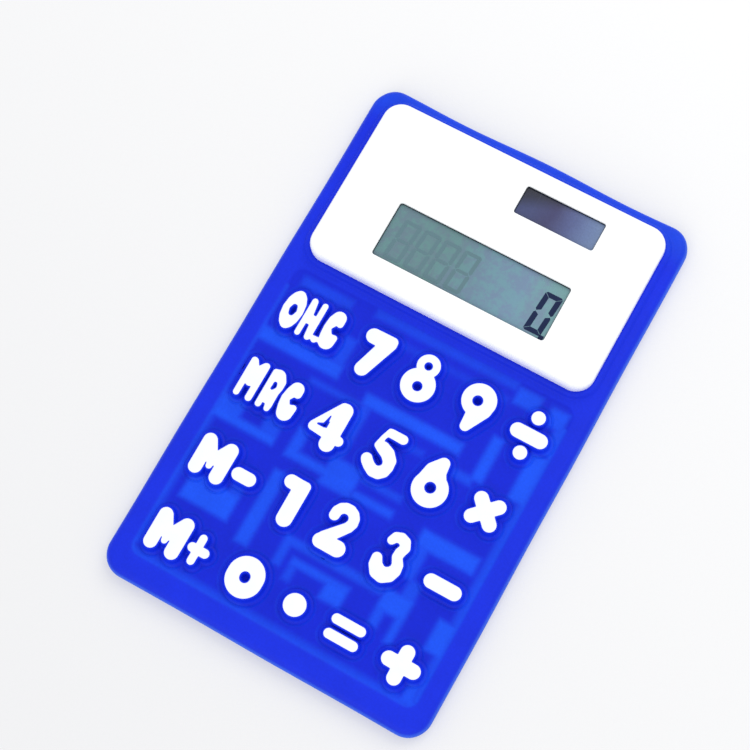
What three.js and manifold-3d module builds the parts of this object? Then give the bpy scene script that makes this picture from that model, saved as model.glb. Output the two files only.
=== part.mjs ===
// Flexible pocket calculator: a soft silicone keypad that curls, with a hard display head at one end.
// Millimetres. +X is the width, +Y runs towards the display head, +Z rises out of the keys.
// The origin is the centre of the footprint, on the surface that the calculator lies on.
import * as THREE from "three";
import { mergeVertices } from "three/addons/utils/BufferGeometryUtils.js";
import Module from "manifold-3d";

const wasm = await Module();
wasm.setup();

// ---- Driving dimensions ----
const WIDTH = 72;
const LENGTH = 115;
const CORNER = 5;
const SKIN_TOP = 4; // top of the silicone slab
const SLAB_EDGE = 1.8; // rounding along the rim of the slab
const SLOT_BOTTOM = 1.4; // slot in the silicone that holds the membrane
const SLOT_TOP = 2.2;
const SLOT_HALF_WIDTH = 31.5;
const SLOT_END_Y = -52.1;

// Key grid
const COLUMN_X = [-23.29, -8.82, 2.48, 14.07, 25.86];
const FIRST_ROW_Y = 4.9;
const ROW_PITCH = 16.93;
const ROW_COUNT = 4;
const FOLD_HALF = 1.1; // half the width of the thin fold between two rows
const PAD = { height: 12.5, corner: 2.4, bottom: 2.9 };
const PAD_WIDTH = [15, 9.6, 9.6, 9.6, 9.8];
const KEY_GAP = 0.3;
const KEY_TOP = 5.6;
const BOSS_GROW = 0.35; // the raised boss stands this far outside the printed character
const NUB = { radius: 1.5, bottom: 2.55 };

// Membrane circuit
const FILM = { halfWidth: 31.1, bottom: 1.5, top: 1.9, endY: -51.8, headY: 14.2 };
const TAIL = { halfWidth: 12, endY: 24, gap: 0.6, slotTop: 2 };

// Display head
const HEAD_Y = 35.55;
const PLATE = { width: 63.9, length: 37.5, corner: 4, top: 8, wall: 1.4, skirtBottom: 3.4 };
const PLATE_CROWN = { drop: 2, inset: 3 };
const HEAD_GAP = 0.3;
const LIP = { width: 1, top: 4.6 };
const TRAY = { width: 60.4, length: 33.3, corner: 2.6, wall: 1.2, floor: 1.2, top: 5 };
const TONGUE = { bottom: 1.3, top: 3.3 };
const LCD_WINDOW = { x: 0.25, y: 28.55, width: 38.7, length: 12.3, corner: 0.6 };
const SOLAR_WINDOW = { x: 10.55, y: 46.7, width: 17.7, length: 6.4, corner: 0.5 };
const LCD = { x: -0.5, y: 30, width: 44, length: 17, bottom: 5.25, top: 6.5 };
const SOLAR = { x: 10.5, y: 46.7, width: 22, length: 9, bottom: 5.4, top: 6.5 };
const REFLECTOR = { x: -0.5, y: 31.2, width: 43, length: 13.6, bottom: 5.05, top: 5.25 };
const BOARD = { halfWidth: 23.5, lowY: 20.6, highY: 38, bottom: 3.4, top: 4.2 };
const BOARD_PEG = { x: 20, lowY: 26, highY: 34, radius: 1.2, top: 3.3 };
const LCD_CONNECTOR = { x: -0.5, y: 22.8, width: 40, length: 1.8 };
const TAIL_CONNECTOR = { x: 0, y: 22.3, width: 22, length: 1.8 };
const CHIP_BLOB = { x: 5, y: 30, bottom: 2.35, top: 3.38 };
const CHIP_BLOB_PROFILE = [[0, 0], [2, 0.15], [3.4, 0.5], [4.2, 1.03]]; // radius, rise
const CELL = { x: -14.5, y: 44.6, radius: 5.8, bottom: 1.35, top: 4.4, rim: 0.3, step: 0.35, cap: 1.3 };

// Contact springs and leads
const NEGATIVE_SPRING = { lowY: 36.6, bendY: 38.3, highY: 46, boardZ: 4.22, cellZ: 4.5, width: 4 };
const SPRING_THICKNESS = 0.22;
const POSITIVE_SPRING = { gap: 0.35, reach: 2.4, foot: 2.8, bottom: 4.25, top: 4.5 };
const LEAD = { positiveX: 14.5, negativeX: 17.5, radius: 0.28, run: 4.62, steps: 20 };

// Fasteners
const POST = { x: 26.4, lowY: 22.6, highY: 48.5, radius: 2.2, bottom: 2.3, pilot: 1.1 };
const SCREW = { headRadius: 1.8, headBottom: 0.15, headTop: 1.2, shank: 0.9, tip: 6.1 };
const CROSS_RECESS = { halfWidth: 0.22, depth: 0.35, reach: 0.62 };
const SCREW_WELL = { bossRadius: 2.9, bossTop: 2.2, radius: 2.1, depth: 1.3, bore: 1.2 };
const DOOR = { lowX: -21.4, highX: -2.4, halfLength: 6.7, corner: 1.4, thickness: 1.1, gap: 0.25 };
const DOOR_SCREW = { x: -5.2, headRadius: 1.5, headBottom: 0.1, headTop: 0.7, shank: 0.8, tip: 2.9 };
const DOOR_BOSS = { radius: 2, top: 3.4 };
const BATTERY_BLOCK = { top: 2, sideMargin: 1, frontMargin: 0.4 };

// Facets
const ARC_STEPS = 4;
const CORNER_STEPS = 3;
const ROUND_STEPS = 24;
const REACH = 64; // half-size of the blocks that cut one slab into pieces

// ---- Printed characters: chains of discs [x, y, radius] around the key's centre ----
function sweep(x, y, radius, fromDegrees, toDegrees, thickness, steps) {
  const discs = [];
  for (let i = 0; i <= steps; i += 1) {
    const angle = THREE.MathUtils.degToRad(fromDegrees + ((toDegrees - fromDegrees) * i) / steps);
    discs.push([x + radius * Math.cos(angle), y + radius * Math.sin(angle), thickness]);
  }
  return discs;
}

const LETTER_M = [
  [[-5.08, 3.1, 1.43], [-5.08, -2.8, 1.41]],
  [[-0.28, 3.1, 1.48], [-0.28, -2.8, 1.46]],
  [[-4.88, 3.1, 1.3], [-2.7, -0.3, 1.1], [-0.48, 3.1, 1.3]],
  [[-2.73, 0.3, 0.9], [-2.73, -1.45, 0.65]],
];

const CHARACTERS = {
  on_c: {
    strokes: [
      [
        [-4.24, 3.35, 1.15], [-4.23, 2.65, 1.64], [-4.22, 1.75, 1.99], [-4.22, 0.25, 2.18],
        [-4.22, -1.25, 1.99], [-4.21, -2.15, 1.64], [-4.2, -2.85, 1.15],
      ],
      [[-1.13, 3.85, 0.6], [-1.15, -3.42, 0.58]],
      [[-1.05, 3.75, 0.62], [-0.6, 0.8, 0.62]],
      [[-0.7, 0.1, 1.05], [0.8, 0.1, 1.05]],
      [[0.75, -0.5, 0.62], [1.08, -3.35, 0.64]],
      [[1.22, 3.85, 0.61], [1.22, -2.4, 0.61]],
      [[1.6, -3, 0.5], [3.6, -2.85, 0.5]],
      [[2.55, -3.2, 0.64]],
      [[5.68, 2, 0.7], [4.95, 3.05, 1.43], [4.25, 2.15, 1.15], [3.68, 0.4, 0.73], [4.2, -1.2, 1.13]],
      [[4.2, -1.2, 1.13], [4.9, -2.35, 1.65], [6, -1.1, 0.65]],
    ],
    counters: [[[-4.2, 0.95, 0.58], [-4.2, 0.25, 0.8], [-4.22, -0.5, 0.58]]],
  },
  7: {
    strokes: [[[-1.66, 3.16, 1.58], [1.8, 3.2, 1.62], [-0.55, -3.82, 1.48]], [[2.3, 3.75, 1.08]]],
    counters: [],
  },
  8: {
    strokes: [[[-0.4, 2.9, 2.4]], [[-0.42, -1.5, 3.52]]],
    counters: [[[-0.4, 2.85, 0.88]], [[-0.42, -1.75, 1.05]]],
  },
  9: {
    strokes: [[[0.1, 1.5, 3.52]], [[1.1, 0.3, 2.35], [0.08, -4.3, 1.05]]],
    counters: [[[-0.14, 1.35, 1.1]]],
  },
  divide: {
    strokes: [[[0.18, 3.9, 1.41]], [[-2.3, -0.08, 1.51], [2.6, -0.08, 1.51]], [[0.21, -3.88, 1.41]]],
    counters: [],
  },
  mrc: {
    strokes: [
      [[-5.66, 4.45, 0.66], [-5.64, -2.9, 0.64]],
      [[-2.88, 4.4, 0.7], [-2.9, -2.85, 0.7]],
      [[-5.5, 4.3, 0.75], [-4.3, 2.2, 0.9], [-2.98, 4.3, 0.75]],
      [[-4.3, 2.1, 1.1], [-4.28, 0.35, 1.1]],
      [[-0.6, 4.3, 0.68], [-0.61, -2.92, 0.64]],
      [[0.3, 3.75, 1.45], [0.95, 2.9, 1.35], [1, 1.9, 1.3], [0.8, 0.6, 1.25]],
      [[0.85, 0.3, 1.2], [1.38, -2.2, 0.72], [1.4, -2.98, 0.6]],
      [[0, 0.3, 0.9], [0.35, -1.55, 0.7]],
      [[5.45, 2.4, 0.85], [4.85, 3.2, 1.45], [4.2, 2.3, 1.15], [3.6, 0.75, 0.83], [4.1, -0.85, 1.15]],
      [[4.1, -0.85, 1.15], [4.95, -2.05, 1.65], [6.05, -0.5, 0.68]],
    ],
    counters: [[[0.42, 2.2, 0.42], [0.52, 1.65, 0.48], [0.3, 1.05, 0.33]]],
  },
  4: {
    strokes: [
      [[0.97, 3.92, 1.58], [0.97, -3.55, 1.58]],
      [[0.55, 4.35, 1.1], [-3.2, -1.35, 0.95]],
      [[-3.25, -1.6, 0.95], [2.75, -2.05, 1]],
    ],
    counters: [[[-1.05, 1.8, 0.12], [-1.25, -0.45, 0.5], [-2.6, -0.75, 0.2]]],
  },
  5: {
    strokes: [
      [[-0.1, 4.4, 0.92], [2.5, 4.37, 0.96]],
      [[-0.45, 4.65, 0.62], [-1.15, 3, 0.5], [-1.35, 1.15, 0.72], [-0.2, 1.1, 1.3], [1.15, 0.5, 1.35]],
      [
        [1.15, 0.5, 1.35], [2.2, -0.6, 1.3], [2.45, -1.9, 1.15], [2.1, -3, 1.25], [1.3, -3.7, 1.3],
        [0.2, -3.85, 1.22], [-0.9, -3.3, 1.15], [-1.75, -2.6, 1.15], [-2.05, -2.2, 1.12],
      ],
    ],
    counters: [],
  },
  6: {
    strokes: [[[0.15, -1.72, 3.68]], [[0.17, 4, 1.22], [-0.55, 1.6, 2.2], [-0.2, -0.6, 3]]],
    counters: [[[0.09, -1.41, 1.18]]],
  },
  multiply: {
    strokes: [[[-2, 1.56, 1.42], [1.8, -2.4, 1.42]], [[1.86, 1.56, 1.42], [-2.15, -2.42, 1.4]]],
    counters: [],
  },
  m_minus: { strokes: [...LETTER_M, [[3.26, -0.14, 1.36], [5.74, -0.14, 1.36]]], counters: [] },
  1: {
    strokes: [
      [[-1.31, 3.6, 1.4], [1.1, 3.5, 1.4]],
      [[1.11, 3.3, 1.65], [1.11, -3.45, 1.62]],
      [[1.75, 3.95, 1]],
    ],
    counters: [],
  },
  2: {
    strokes: [
      sweep(0, 2.25, 2, 190, -35, 1.06, 8),
      [[1.65, 1.05, 1.05], [-1.6, -2.9, 1.3]],
      [[-1.95, -3.75, 1.5], [1.75, -3.62, 1.65]],
    ],
    counters: [],
  },
  3: {
    strokes: [
      [
        [-1.42, 2.95, 0.85], [-0.9, 3.9, 1], [0.1, 4.2, 1.08], [1.05, 3.85, 1.1],
        [1.65, 2.8, 1], [1.2, 1.6, 1.05], [1.1, 0.6, 1], [1.95, -0.8, 1.1],
        [2, -2, 1.2], [1.35, -3.15, 1.45], [0.2, -3.8, 1.57], [-0.9, -3.6, 1.55],
        [-1.9, -2.6, 1.3], [-2.3, -1.3, 1.03],
      ],
    ],
    counters: [],
  },
  subtract: { strokes: [[[-2.76, -0.27, 1.45], [2.25, -0.27, 1.45]]], counters: [] },
  m_plus: {
    strokes: [...LETTER_M, [[3.85, 2.5, 0.8], [3.85, -2.4, 0.8]], [[2.76, 0.06, 0.94], [5.56, 0.06, 0.94]]],
    counters: [],
  },
  0: {
    strokes: [[[0.25, 0.36, 3.77], [0.25, -0.46, 3.77]]],
    counters: [[[0.23, 0.05, 1.08], [0.23, -0.15, 1.08]]],
  },
  point: { strokes: [[[0.03, 0, 2.28]]], counters: [] },
  equals: {
    strokes: [[[-3.2, 1.66, 1], [2.07, 1.66, 1]], [[-3.2, -1.5, 1], [2.07, -1.5, 1]]],
    counters: [],
  },
  add: {
    strokes: [[[-0.03, 2.57, 1.45], [-0.03, -2.8, 1.43]], [[-2.65, -0.07, 1.47], [2.6, -0.07, 1.47]]],
    counters: [],
  },
};

const KEY_ROWS = [
  ["on_c", "7", "8", "9", "divide"],
  ["mrc", "4", "5", "6", "multiply"],
  ["m_minus", "1", "2", "3", "subtract"],
  ["m_plus", "0", "point", "equals", "add"],
];

// ---- Solids ----
function solidOf(geometry) {
  const bare = geometry.clone();
  bare.deleteAttribute("normal");
  bare.deleteAttribute("uv");
  const merged = mergeVertices(bare, 1e-4);
  const mesh = new wasm.Mesh({
    numProp: 3,
    vertProperties: new Float32Array(merged.attributes.position.array),
    triVerts: new Uint32Array(merged.index.array),
  });
  return new wasm.Manifold(mesh);
}

function geometryOf(solid) {
  const mesh = solid.getMesh();
  const geometry = new THREE.BufferGeometry();
  geometry.setAttribute("position", new THREE.BufferAttribute(mesh.vertProperties, mesh.numProp));
  geometry.setIndex(new THREE.BufferAttribute(mesh.triVerts, 1));
  const faceted = geometry.toNonIndexed();
  faceted.computeVertexNormals();
  return faceted;
}

const join = (...solids) => solids.reduce((whole, piece) => whole.add(piece));
const cut = (solid, ...tools) => tools.reduce((left, tool) => left.subtract(tool), solid);

function arcPoints(x, y, radius, from, to, steps) {
  const points = [];
  for (let i = 0; i <= steps; i += 1) {
    const angle = from + ((to - from) * i) / steps;
    points.push(new THREE.Vector2(x + radius * Math.cos(angle), y + radius * Math.sin(angle)));
  }
  return points;
}

function discShape(x, y, radius, steps = ROUND_STEPS) {
  return new THREE.Shape(arcPoints(x, y, radius, 0, 2 * Math.PI * (1 - 1 / steps), steps - 1));
}

function roundedShape(x, y, width, length, corner) {
  const halfX = width / 2 - corner;
  const halfY = length / 2 - corner;
  const centres = [[halfX, halfY], [-halfX, halfY], [-halfX, -halfY], [halfX, -halfY]];
  const points = centres.flatMap(([dx, dy], i) => {
    const start = (i * Math.PI) / 2;
    return arcPoints(x + dx, y + dy, corner, start, start + Math.PI / 2, CORNER_STEPS);
  });
  return new THREE.Shape(points);
}

/** Round-ended outline that runs from one disc to the next. */
function strokeShape([x0, y0, r0], [x1, y1, r1], grow) {
  const heading = Math.atan2(y1 - y0, x1 - x0);
  const lean = Math.acos((r0 - r1) / Math.hypot(x1 - x0, y1 - y0));
  const far = arcPoints(x1, y1, r1 + grow, heading - lean, heading + lean, ARC_STEPS);
  const near = arcPoints(x0, y0, r0 + grow, heading + lean, heading - lean + 2 * Math.PI, ARC_STEPS);
  return new THREE.Shape([...far, ...near]);
}

function extruded(shape, bottom, top) {
  const geometry = new THREE.ExtrudeGeometry(shape, { depth: top - bottom, bevelEnabled: false });
  return solidOf(geometry.translate(0, 0, bottom));
}

/** Extrusion whose upper and lower rims are rounded, inside the shape's outline. */
function pillow(shape, bottom, top, drop, inset, steps) {
  const geometry = new THREE.ExtrudeGeometry(shape, {
    depth: top - bottom - 2 * drop,
    bevelThickness: drop,
    bevelSize: inset,
    bevelOffset: -inset,
    bevelSegments: steps,
  });
  return solidOf(geometry.translate(0, 0, bottom + drop));
}

function block(lowX, highX, lowY, highY, bottom, top) {
  const geometry = new THREE.BoxGeometry(highX - lowX, highY - lowY, top - bottom);
  return solidOf(geometry.translate((lowX + highX) / 2, (lowY + highY) / 2, (bottom + top) / 2));
}

const disc = (x, y, radius, bottom, top, steps) => extruded(discShape(x, y, radius, steps), bottom, top);

function cornerPosts(make) {
  return [-POST.x, POST.x].flatMap((x) => [POST.lowY, POST.highY].map((y) => make(x, y)));
}

// ---- Materials ----
function finish(color, roughness, metalness = 0) {
  return new THREE.MeshStandardMaterial({ color, roughness, metalness });
}

const blueSilicone = () => finish(0x263ae8, 0.45);
const whitePlastic = () => finish(0xfcfefe, 0.3);
const darkGlass = () => finish(0x36406a, 0.15);
const greyGlass = () => finish(0x709cb0, 0.15);
const steel = () => finish(0xb8bcc0, 0.3, 1);
const clearFilm = () => finish(0x4e7cf0, 0.4);
const greenBoard = () => finish(0x1e6a3a, 0.5);
const blackRubber = () => finish(0x202226, 0.7);

const calculator = new THREE.Group();

function add(parent, name, solid, material) {
  const mesh = new THREE.Mesh(geometryOf(solid), material);
  mesh.name = name;
  parent.add(mesh);
  return mesh;
}

// ---- Silicone body, cut from one slab ----
const rowY = (row) => FIRST_ROW_Y - ROW_PITCH * row;
const foldY = (fold) => FIRST_ROW_Y + ROW_PITCH / 2 - ROW_PITCH * fold;

const slab = pillow(roundedShape(0, 0, WIDTH, LENGTH, CORNER), 0, SKIN_TOP, SLAB_EDGE, SLAB_EDGE, 3);
const membraneSlot = (bottom) =>
  block(-SLOT_HALF_WIDTH, SLOT_HALF_WIDTH, SLOT_END_Y, HEAD_Y, bottom, SLOT_TOP);
const tailHalf = TAIL.halfWidth + TAIL.gap;
const tailSlot = block(-tailHalf, tailHalf, foldY(0), TRAY.length, SLOT_BOTTOM, TAIL.slotTop);

function slabBetween(lowY, highY, bottom = -REACH, top = REACH) {
  return slab.intersect(block(-REACH, REACH, lowY, highY, bottom, top));
}

function siliconeCollar() {
  const recess = roundedShape(
    0, HEAD_Y, PLATE.width + 2 * HEAD_GAP, PLATE.length + 2 * HEAD_GAP, PLATE.corner + HEAD_GAP,
  );
  const throat = roundedShape(
    0, HEAD_Y, TRAY.width + 2 * HEAD_GAP, TRAY.length + 2 * HEAD_GAP, TRAY.corner + HEAD_GAP,
  );
  const lipGrow = 2 * (HEAD_GAP + LIP.width);
  const lip = roundedShape(
    0, HEAD_Y, PLATE.width + lipGrow, PLATE.length + lipGrow, PLATE.corner + lipGrow / 2,
  );
  const frame = join(slabBetween(foldY(0) + FOLD_HALF, REACH), extruded(lip, SKIN_TOP - 1, LIP.top));
  return cut(
    frame,
    extruded(recess, TONGUE.top, REACH),
    extruded(recess, -REACH, TONGUE.bottom),
    extruded(throat, -REACH, REACH),
    tailSlot,
  );
}

function keyHole(row, column) {
  const grow = 2 * KEY_GAP;
  const shape = roundedShape(
    COLUMN_X[column], rowY(row), PAD_WIDTH[column] + grow, PAD.height + grow, PAD.corner + KEY_GAP,
  );
  return extruded(shape, SLOT_TOP - 1, REACH);
}

function rowSpan(row) {
  const low = row === ROW_COUNT - 1 ? -REACH : foldY(row + 1) + FOLD_HALF;
  return [low, foldY(row) - FOLD_HALF];
}

function topSkin(row) {
  const skin = slabBetween(...rowSpan(row), SLOT_BOTTOM, REACH).subtract(membraneSlot(-REACH));
  return cut(skin, ...COLUMN_X.map((_, column) => keyHole(row, column)));
}

const backSkin = (row) => slabBetween(...rowSpan(row), -REACH, SLOT_BOTTOM);

const foldWeb = (fold) =>
  slabBetween(foldY(fold) - FOLD_HALF, foldY(fold) + FOLD_HALF).subtract(membraneSlot(SLOT_BOTTOM));

function membraneCircuit() {
  const panel = block(-FILM.halfWidth, FILM.halfWidth, FILM.endY, FILM.headY, FILM.bottom, FILM.top);
  const tail = block(-TAIL.halfWidth, TAIL.halfWidth, 0, TAIL.endY, FILM.bottom, FILM.top);
  return join(panel, tail);
}

// ---- Keys, each around its own centre ----
function chainSolid(chain, grow, bottom, top) {
  if (chain.length === 1) {
    const [x, y, radius] = chain[0];
    return disc(x, y, radius + grow, bottom, top, 2 * ARC_STEPS);
  }
  const links = chain.slice(1).map((next, i) => extruded(strokeShape(chain[i], next, grow), bottom, top));
  return join(...links);
}

function keySolid(character, column) {
  const { strokes, counters } = CHARACTERS[character];
  const pad = extruded(roundedShape(0, 0, PAD_WIDTH[column], PAD.height, PAD.corner), PAD.bottom, SKIN_TOP);
  const nub = disc(0, 0, NUB.radius, NUB.bottom, PAD.bottom + 0.5, 12);
  const boss = join(...strokes.map((chain) => chainSolid(chain, BOSS_GROW, SKIN_TOP - 0.5, KEY_TOP)));
  const holes = counters.map((chain) => chainSolid(chain, -BOSS_GROW / 3, SKIN_TOP - 0.6, KEY_TOP + 1));
  return join(pad, nub, cut(boss, ...holes));
}

// ---- Display head ----
function displayBezel() {
  const outer = roundedShape(0, HEAD_Y, PLATE.width, PLATE.length, PLATE.corner);
  const inner = roundedShape(
    0, HEAD_Y, PLATE.width - 2 * PLATE.wall, PLATE.length - 2 * PLATE.wall, PLATE.corner - PLATE.wall,
  );
  const crowned = pillow(outer, -PLATE.top, PLATE.top, PLATE_CROWN.drop, PLATE_CROWN.inset, 4);
  const shell = cut(
    crowned,
    block(-REACH, REACH, -REACH, REACH, -REACH, PLATE.skirtBottom),
    extruded(inner, -REACH, PLATE.top - PLATE.wall),
  );
  const windows = [LCD_WINDOW, SOLAR_WINDOW].map((opening) => {
    const shape = roundedShape(opening.x, opening.y, opening.width, opening.length, opening.corner);
    return extruded(shape, SKIN_TOP, REACH);
  });
  const posts = cornerPosts((x, y) => disc(x, y, POST.radius, POST.bottom, PLATE.top - 1, 16));
  const pilots = cornerPosts((x, y) => disc(x, y, POST.pilot, 0, SCREW.tip + 0.3, 12));
  return cut(join(shell, ...posts), ...windows, ...pilots);
}

function doorShape(grow) {
  const width = DOOR.highX - DOOR.lowX;
  const x = (DOOR.lowX + DOOR.highX) / 2;
  return roundedShape(x, CELL.y, width + 2 * grow, 2 * (DOOR.halfLength + grow), DOOR.corner + grow);
}

function rearHousing() {
  const plate = extruded(roundedShape(0, HEAD_Y, PLATE.width, PLATE.length, PLATE.corner), 0, TRAY.floor);
  const inside = { width: TRAY.width - 2 * TRAY.wall, length: TRAY.length - 2 * TRAY.wall };
  const wall = cut(
    extruded(roundedShape(0, HEAD_Y, TRAY.width, TRAY.length, TRAY.corner), 0.5, TRAY.top),
    extruded(roundedShape(0, HEAD_Y, inside.width, inside.length, TRAY.corner - TRAY.wall), 0, REACH),
  );
  const bosses = cornerPosts((x, y) => disc(x, y, SCREW_WELL.bossRadius, 0.5, SCREW_WELL.bossTop, 16));
  const wells = cornerPosts((x, y) => disc(x, y, SCREW_WELL.radius, -1, SCREW_WELL.depth, 16));
  const bores = cornerPosts((x, y) => disc(x, y, SCREW_WELL.bore, -1, REACH, 12));
  const boardPegs = [-BOARD_PEG.x, BOARD_PEG.x].flatMap((x) => [
    disc(x, BOARD_PEG.lowY, BOARD_PEG.radius, 0.5, BOARD_PEG.top, 10),
    disc(x, BOARD_PEG.highY, BOARD_PEG.radius, 0.5, BOARD_PEG.top, 10),
  ]);
  const batteryBlock = block(
    DOOR.lowX - BATTERY_BLOCK.sideMargin, DOOR.highX + BATTERY_BLOCK.sideMargin,
    CELL.y - DOOR.halfLength - BATTERY_BLOCK.frontMargin, HEAD_Y + inside.length / 2 + 0.5,
    0.5, BATTERY_BLOCK.top,
  );
  const doorBoss = disc(DOOR_SCREW.x, CELL.y, DOOR_BOSS.radius, 0.5, DOOR_BOSS.top, 16);
  return cut(
    join(plate, wall, ...bosses, ...boardPegs, batteryBlock, doorBoss),
    ...wells,
    ...bores,
    extruded(doorShape(DOOR.gap), -1, DOOR.thickness + 0.1),
    disc(CELL.x, CELL.y, CELL.radius + 0.4, -1, REACH),
    disc(DOOR_SCREW.x, CELL.y, DOOR_SCREW.shank + 0.2, 0, DOOR_SCREW.tip + 0.2, 12),
    tailSlot,
  );
}

function batteryDoor() {
  const plate = extruded(doorShape(0), 0, DOOR.thickness);
  const cellPad = disc(CELL.x, CELL.y, CELL.radius - 0.4, 0.5, CELL.bottom - 0.05);
  return cut(
    join(plate, cellPad),
    disc(DOOR_SCREW.x, CELL.y, DOOR_SCREW.headRadius + 0.2, -1, DOOR_SCREW.headTop, 16),
    disc(DOOR_SCREW.x, CELL.y, DOOR_SCREW.shank + 0.3, -1, REACH, 12),
  );
}

/** Pan-head screw that points up, with a cross recess in its head. */
function screwSolid(x, y, size) {
  const arm = size.headRadius * CROSS_RECESS.reach;
  const half = CROSS_RECESS.halfWidth;
  const slotTop = size.headBottom + CROSS_RECESS.depth;
  return cut(
    join(
      disc(x, y, size.headRadius, size.headBottom, size.headTop, 16),
      disc(x, y, size.shank, size.headTop - 0.2, size.tip, 12),
    ),
    block(x - arm, x + arm, y - half, y + half, -1, slotTop),
    block(x - half, x + half, y - arm, y + arm, -1, slotTop),
  );
}

/** Button cell: a wide can with a smaller cap on top, turned about its own axis. */
function buttonCell() {
  const shoulder = CELL.top - CELL.step;
  const profile = [
    [0, CELL.bottom],
    [CELL.radius - CELL.rim, CELL.bottom],
    [CELL.radius, CELL.bottom + CELL.rim],
    [CELL.radius, shoulder - CELL.rim],
    [CELL.radius - CELL.rim, shoulder],
    [CELL.radius - CELL.cap + 0.2, shoulder],
    [CELL.radius - CELL.cap, CELL.top],
    [0, CELL.top],
  ];
  const lathe = new THREE.LatheGeometry(profile.map(([r, z]) => new THREE.Vector2(r, z)), ROUND_STEPS);
  return solidOf(lathe.rotateX(Math.PI / 2).translate(CELL.x, CELL.y, 0));
}

function negativeContact() {
  const { lowY, bendY, highY, boardZ, cellZ, width } = NEGATIVE_SPRING;
  const under = [[lowY, boardZ], [bendY, boardZ], [bendY + 0.5, cellZ], [highY, cellZ]];
  const over = [
    [highY, cellZ + SPRING_THICKNESS],
    [bendY + 0.3, cellZ + SPRING_THICKNESS],
    [bendY - 0.2, boardZ + SPRING_THICKNESS],
    [lowY, boardZ + SPRING_THICKNESS],
  ];
  const strip = new THREE.Shape([...under, ...over].map(([y, z]) => new THREE.Vector2(y, z)));
  const geometry = new THREE.ExtrudeGeometry(strip, { depth: width, bevelEnabled: false });
  geometry.rotateX(Math.PI / 2).rotateZ(Math.PI / 2);
  return solidOf(geometry.translate(CELL.x - width / 2, 0, 0));
}

function positiveContact() {
  const { gap, reach, foot, bottom, top } = POSITIVE_SPRING;
  const side = CELL.x + CELL.radius + gap;
  return join(
    block(
      side, side + SPRING_THICKNESS, BOARD.highY + 0.3, CELL.y + reach, BATTERY_BLOCK.top + 0.1, top,
    ),
    block(side, side + foot, BOARD.highY - 1.2, BOARD.highY + 0.6, bottom, top),
  );
}

function solarLead(x) {
  const start = SOLAR.y - 2;
  const bend = [
    [start, SOLAR.bottom - 0.05],
    [start, LEAD.run + 0.23],
    [start - 0.6, LEAD.run],
    [BOARD.highY + 0.4, LEAD.run],
    [BOARD.highY - 0.8, LEAD.run - 0.12],
    [BOARD.highY - 1.1, BOARD.top + 0.05],
  ];
  const points = bend.map(([y, z]) => new THREE.Vector3(x, y, z));
  const path = new THREE.CatmullRomCurve3(points, false, "catmullrom", 0.3);
  const section = discShape(0, 0, LEAD.radius, 8);
  return solidOf(new THREE.ExtrudeGeometry(section, { steps: LEAD.steps, extrudePath: path }));
}

function chipBlob() {
  const { x, y, bottom, top } = CHIP_BLOB;
  const outline = CHIP_BLOB_PROFILE.map(([radius, rise]) => new THREE.Vector2(radius, bottom + rise));
  const lathe = new THREE.LatheGeometry([...outline, new THREE.Vector2(0, top)], 16);
  return solidOf(lathe.rotateX(Math.PI / 2).translate(x, y, 0));
}

function centredBlock(place, bottom, top) {
  return block(
    place.x - place.width / 2, place.x + place.width / 2,
    place.y - place.length / 2, place.y + place.length / 2, bottom, top,
  );
}

// ---- Assembly ----
const head = new THREE.Group();
calculator.add(head);
add(head, "display_bezel", displayBezel(), whitePlastic());
add(head, "rear_housing", rearHousing(), whitePlastic());
add(head, "silicone_collar", siliconeCollar(), blueSilicone());
add(head, "lcd_glass", centredBlock(LCD, LCD.bottom, LCD.top), greyGlass());
add(head, "lcd_reflector", centredBlock(REFLECTOR, REFLECTOR.bottom, REFLECTOR.top), steel());
add(head, "lcd_zebra_strip", centredBlock(LCD_CONNECTOR, BOARD.top, LCD.bottom), blackRubber());
add(head, "tail_zebra_strip", centredBlock(TAIL_CONNECTOR, FILM.top, BOARD.bottom), blackRubber());
add(
  head, "circuit_board",
  block(-BOARD.halfWidth, BOARD.halfWidth, BOARD.lowY, BOARD.highY, BOARD.bottom, BOARD.top),
  greenBoard(),
);
add(head, "chip_blob", chipBlob(), blackRubber());
add(head, "solar_cell", centredBlock(SOLAR, SOLAR.bottom, SOLAR.top), darkGlass());
add(head, "solar_lead_positive", solarLead(LEAD.positiveX), blackRubber());
add(head, "solar_lead_negative", solarLead(LEAD.negativeX), blackRubber());
add(head, "cell_contact_negative", negativeContact(), steel());
add(head, "cell_contact_positive", positiveContact(), steel());
add(head, "button_cell", buttonCell(), steel());
add(head, "battery_door", batteryDoor(), whitePlastic());
add(head, "battery_door_screw", screwSolid(DOOR_SCREW.x, CELL.y, DOOR_SCREW), steel());
cornerPosts((x, y) => ({ x, y })).forEach(({ x, y }, i) => {
  add(head, `housing_screw_${i + 1}`, screwSolid(x, y, SCREW), steel());
});
add(head, "membrane_circuit", membraneCircuit(), clearFilm());

const keypad = new THREE.Group();
calculator.add(keypad);
for (let row = 0; row < ROW_COUNT; row += 1) {
  add(keypad, `fold_web_${row + 1}`, foldWeb(row), blueSilicone());
  add(keypad, `row_${row + 1}_top_skin`, topSkin(row), blueSilicone());
  add(keypad, `row_${row + 1}_back_skin`, backSkin(row), blueSilicone());
  KEY_ROWS[row].forEach((character, column) => {
    const key = add(keypad, `key_${character}`, keySolid(character, column), blueSilicone());
    key.position.set(COLUMN_X[column], rowY(row), 0);
  });
}

export default calculator;
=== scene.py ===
"""Flexible pocket calculator: soft blue silicone body with raised keys, and a hard white display head.

Shapes are worked out in millimetres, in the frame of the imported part, and turned into metres as meshes.
"""

import functools
import math

import bmesh
import bpy
import numpy as np
from mathutils import Matrix, Vector
from mathutils.geometry import delaunay_2d_cdt
from mathutils.kdtree import KDTree


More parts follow.
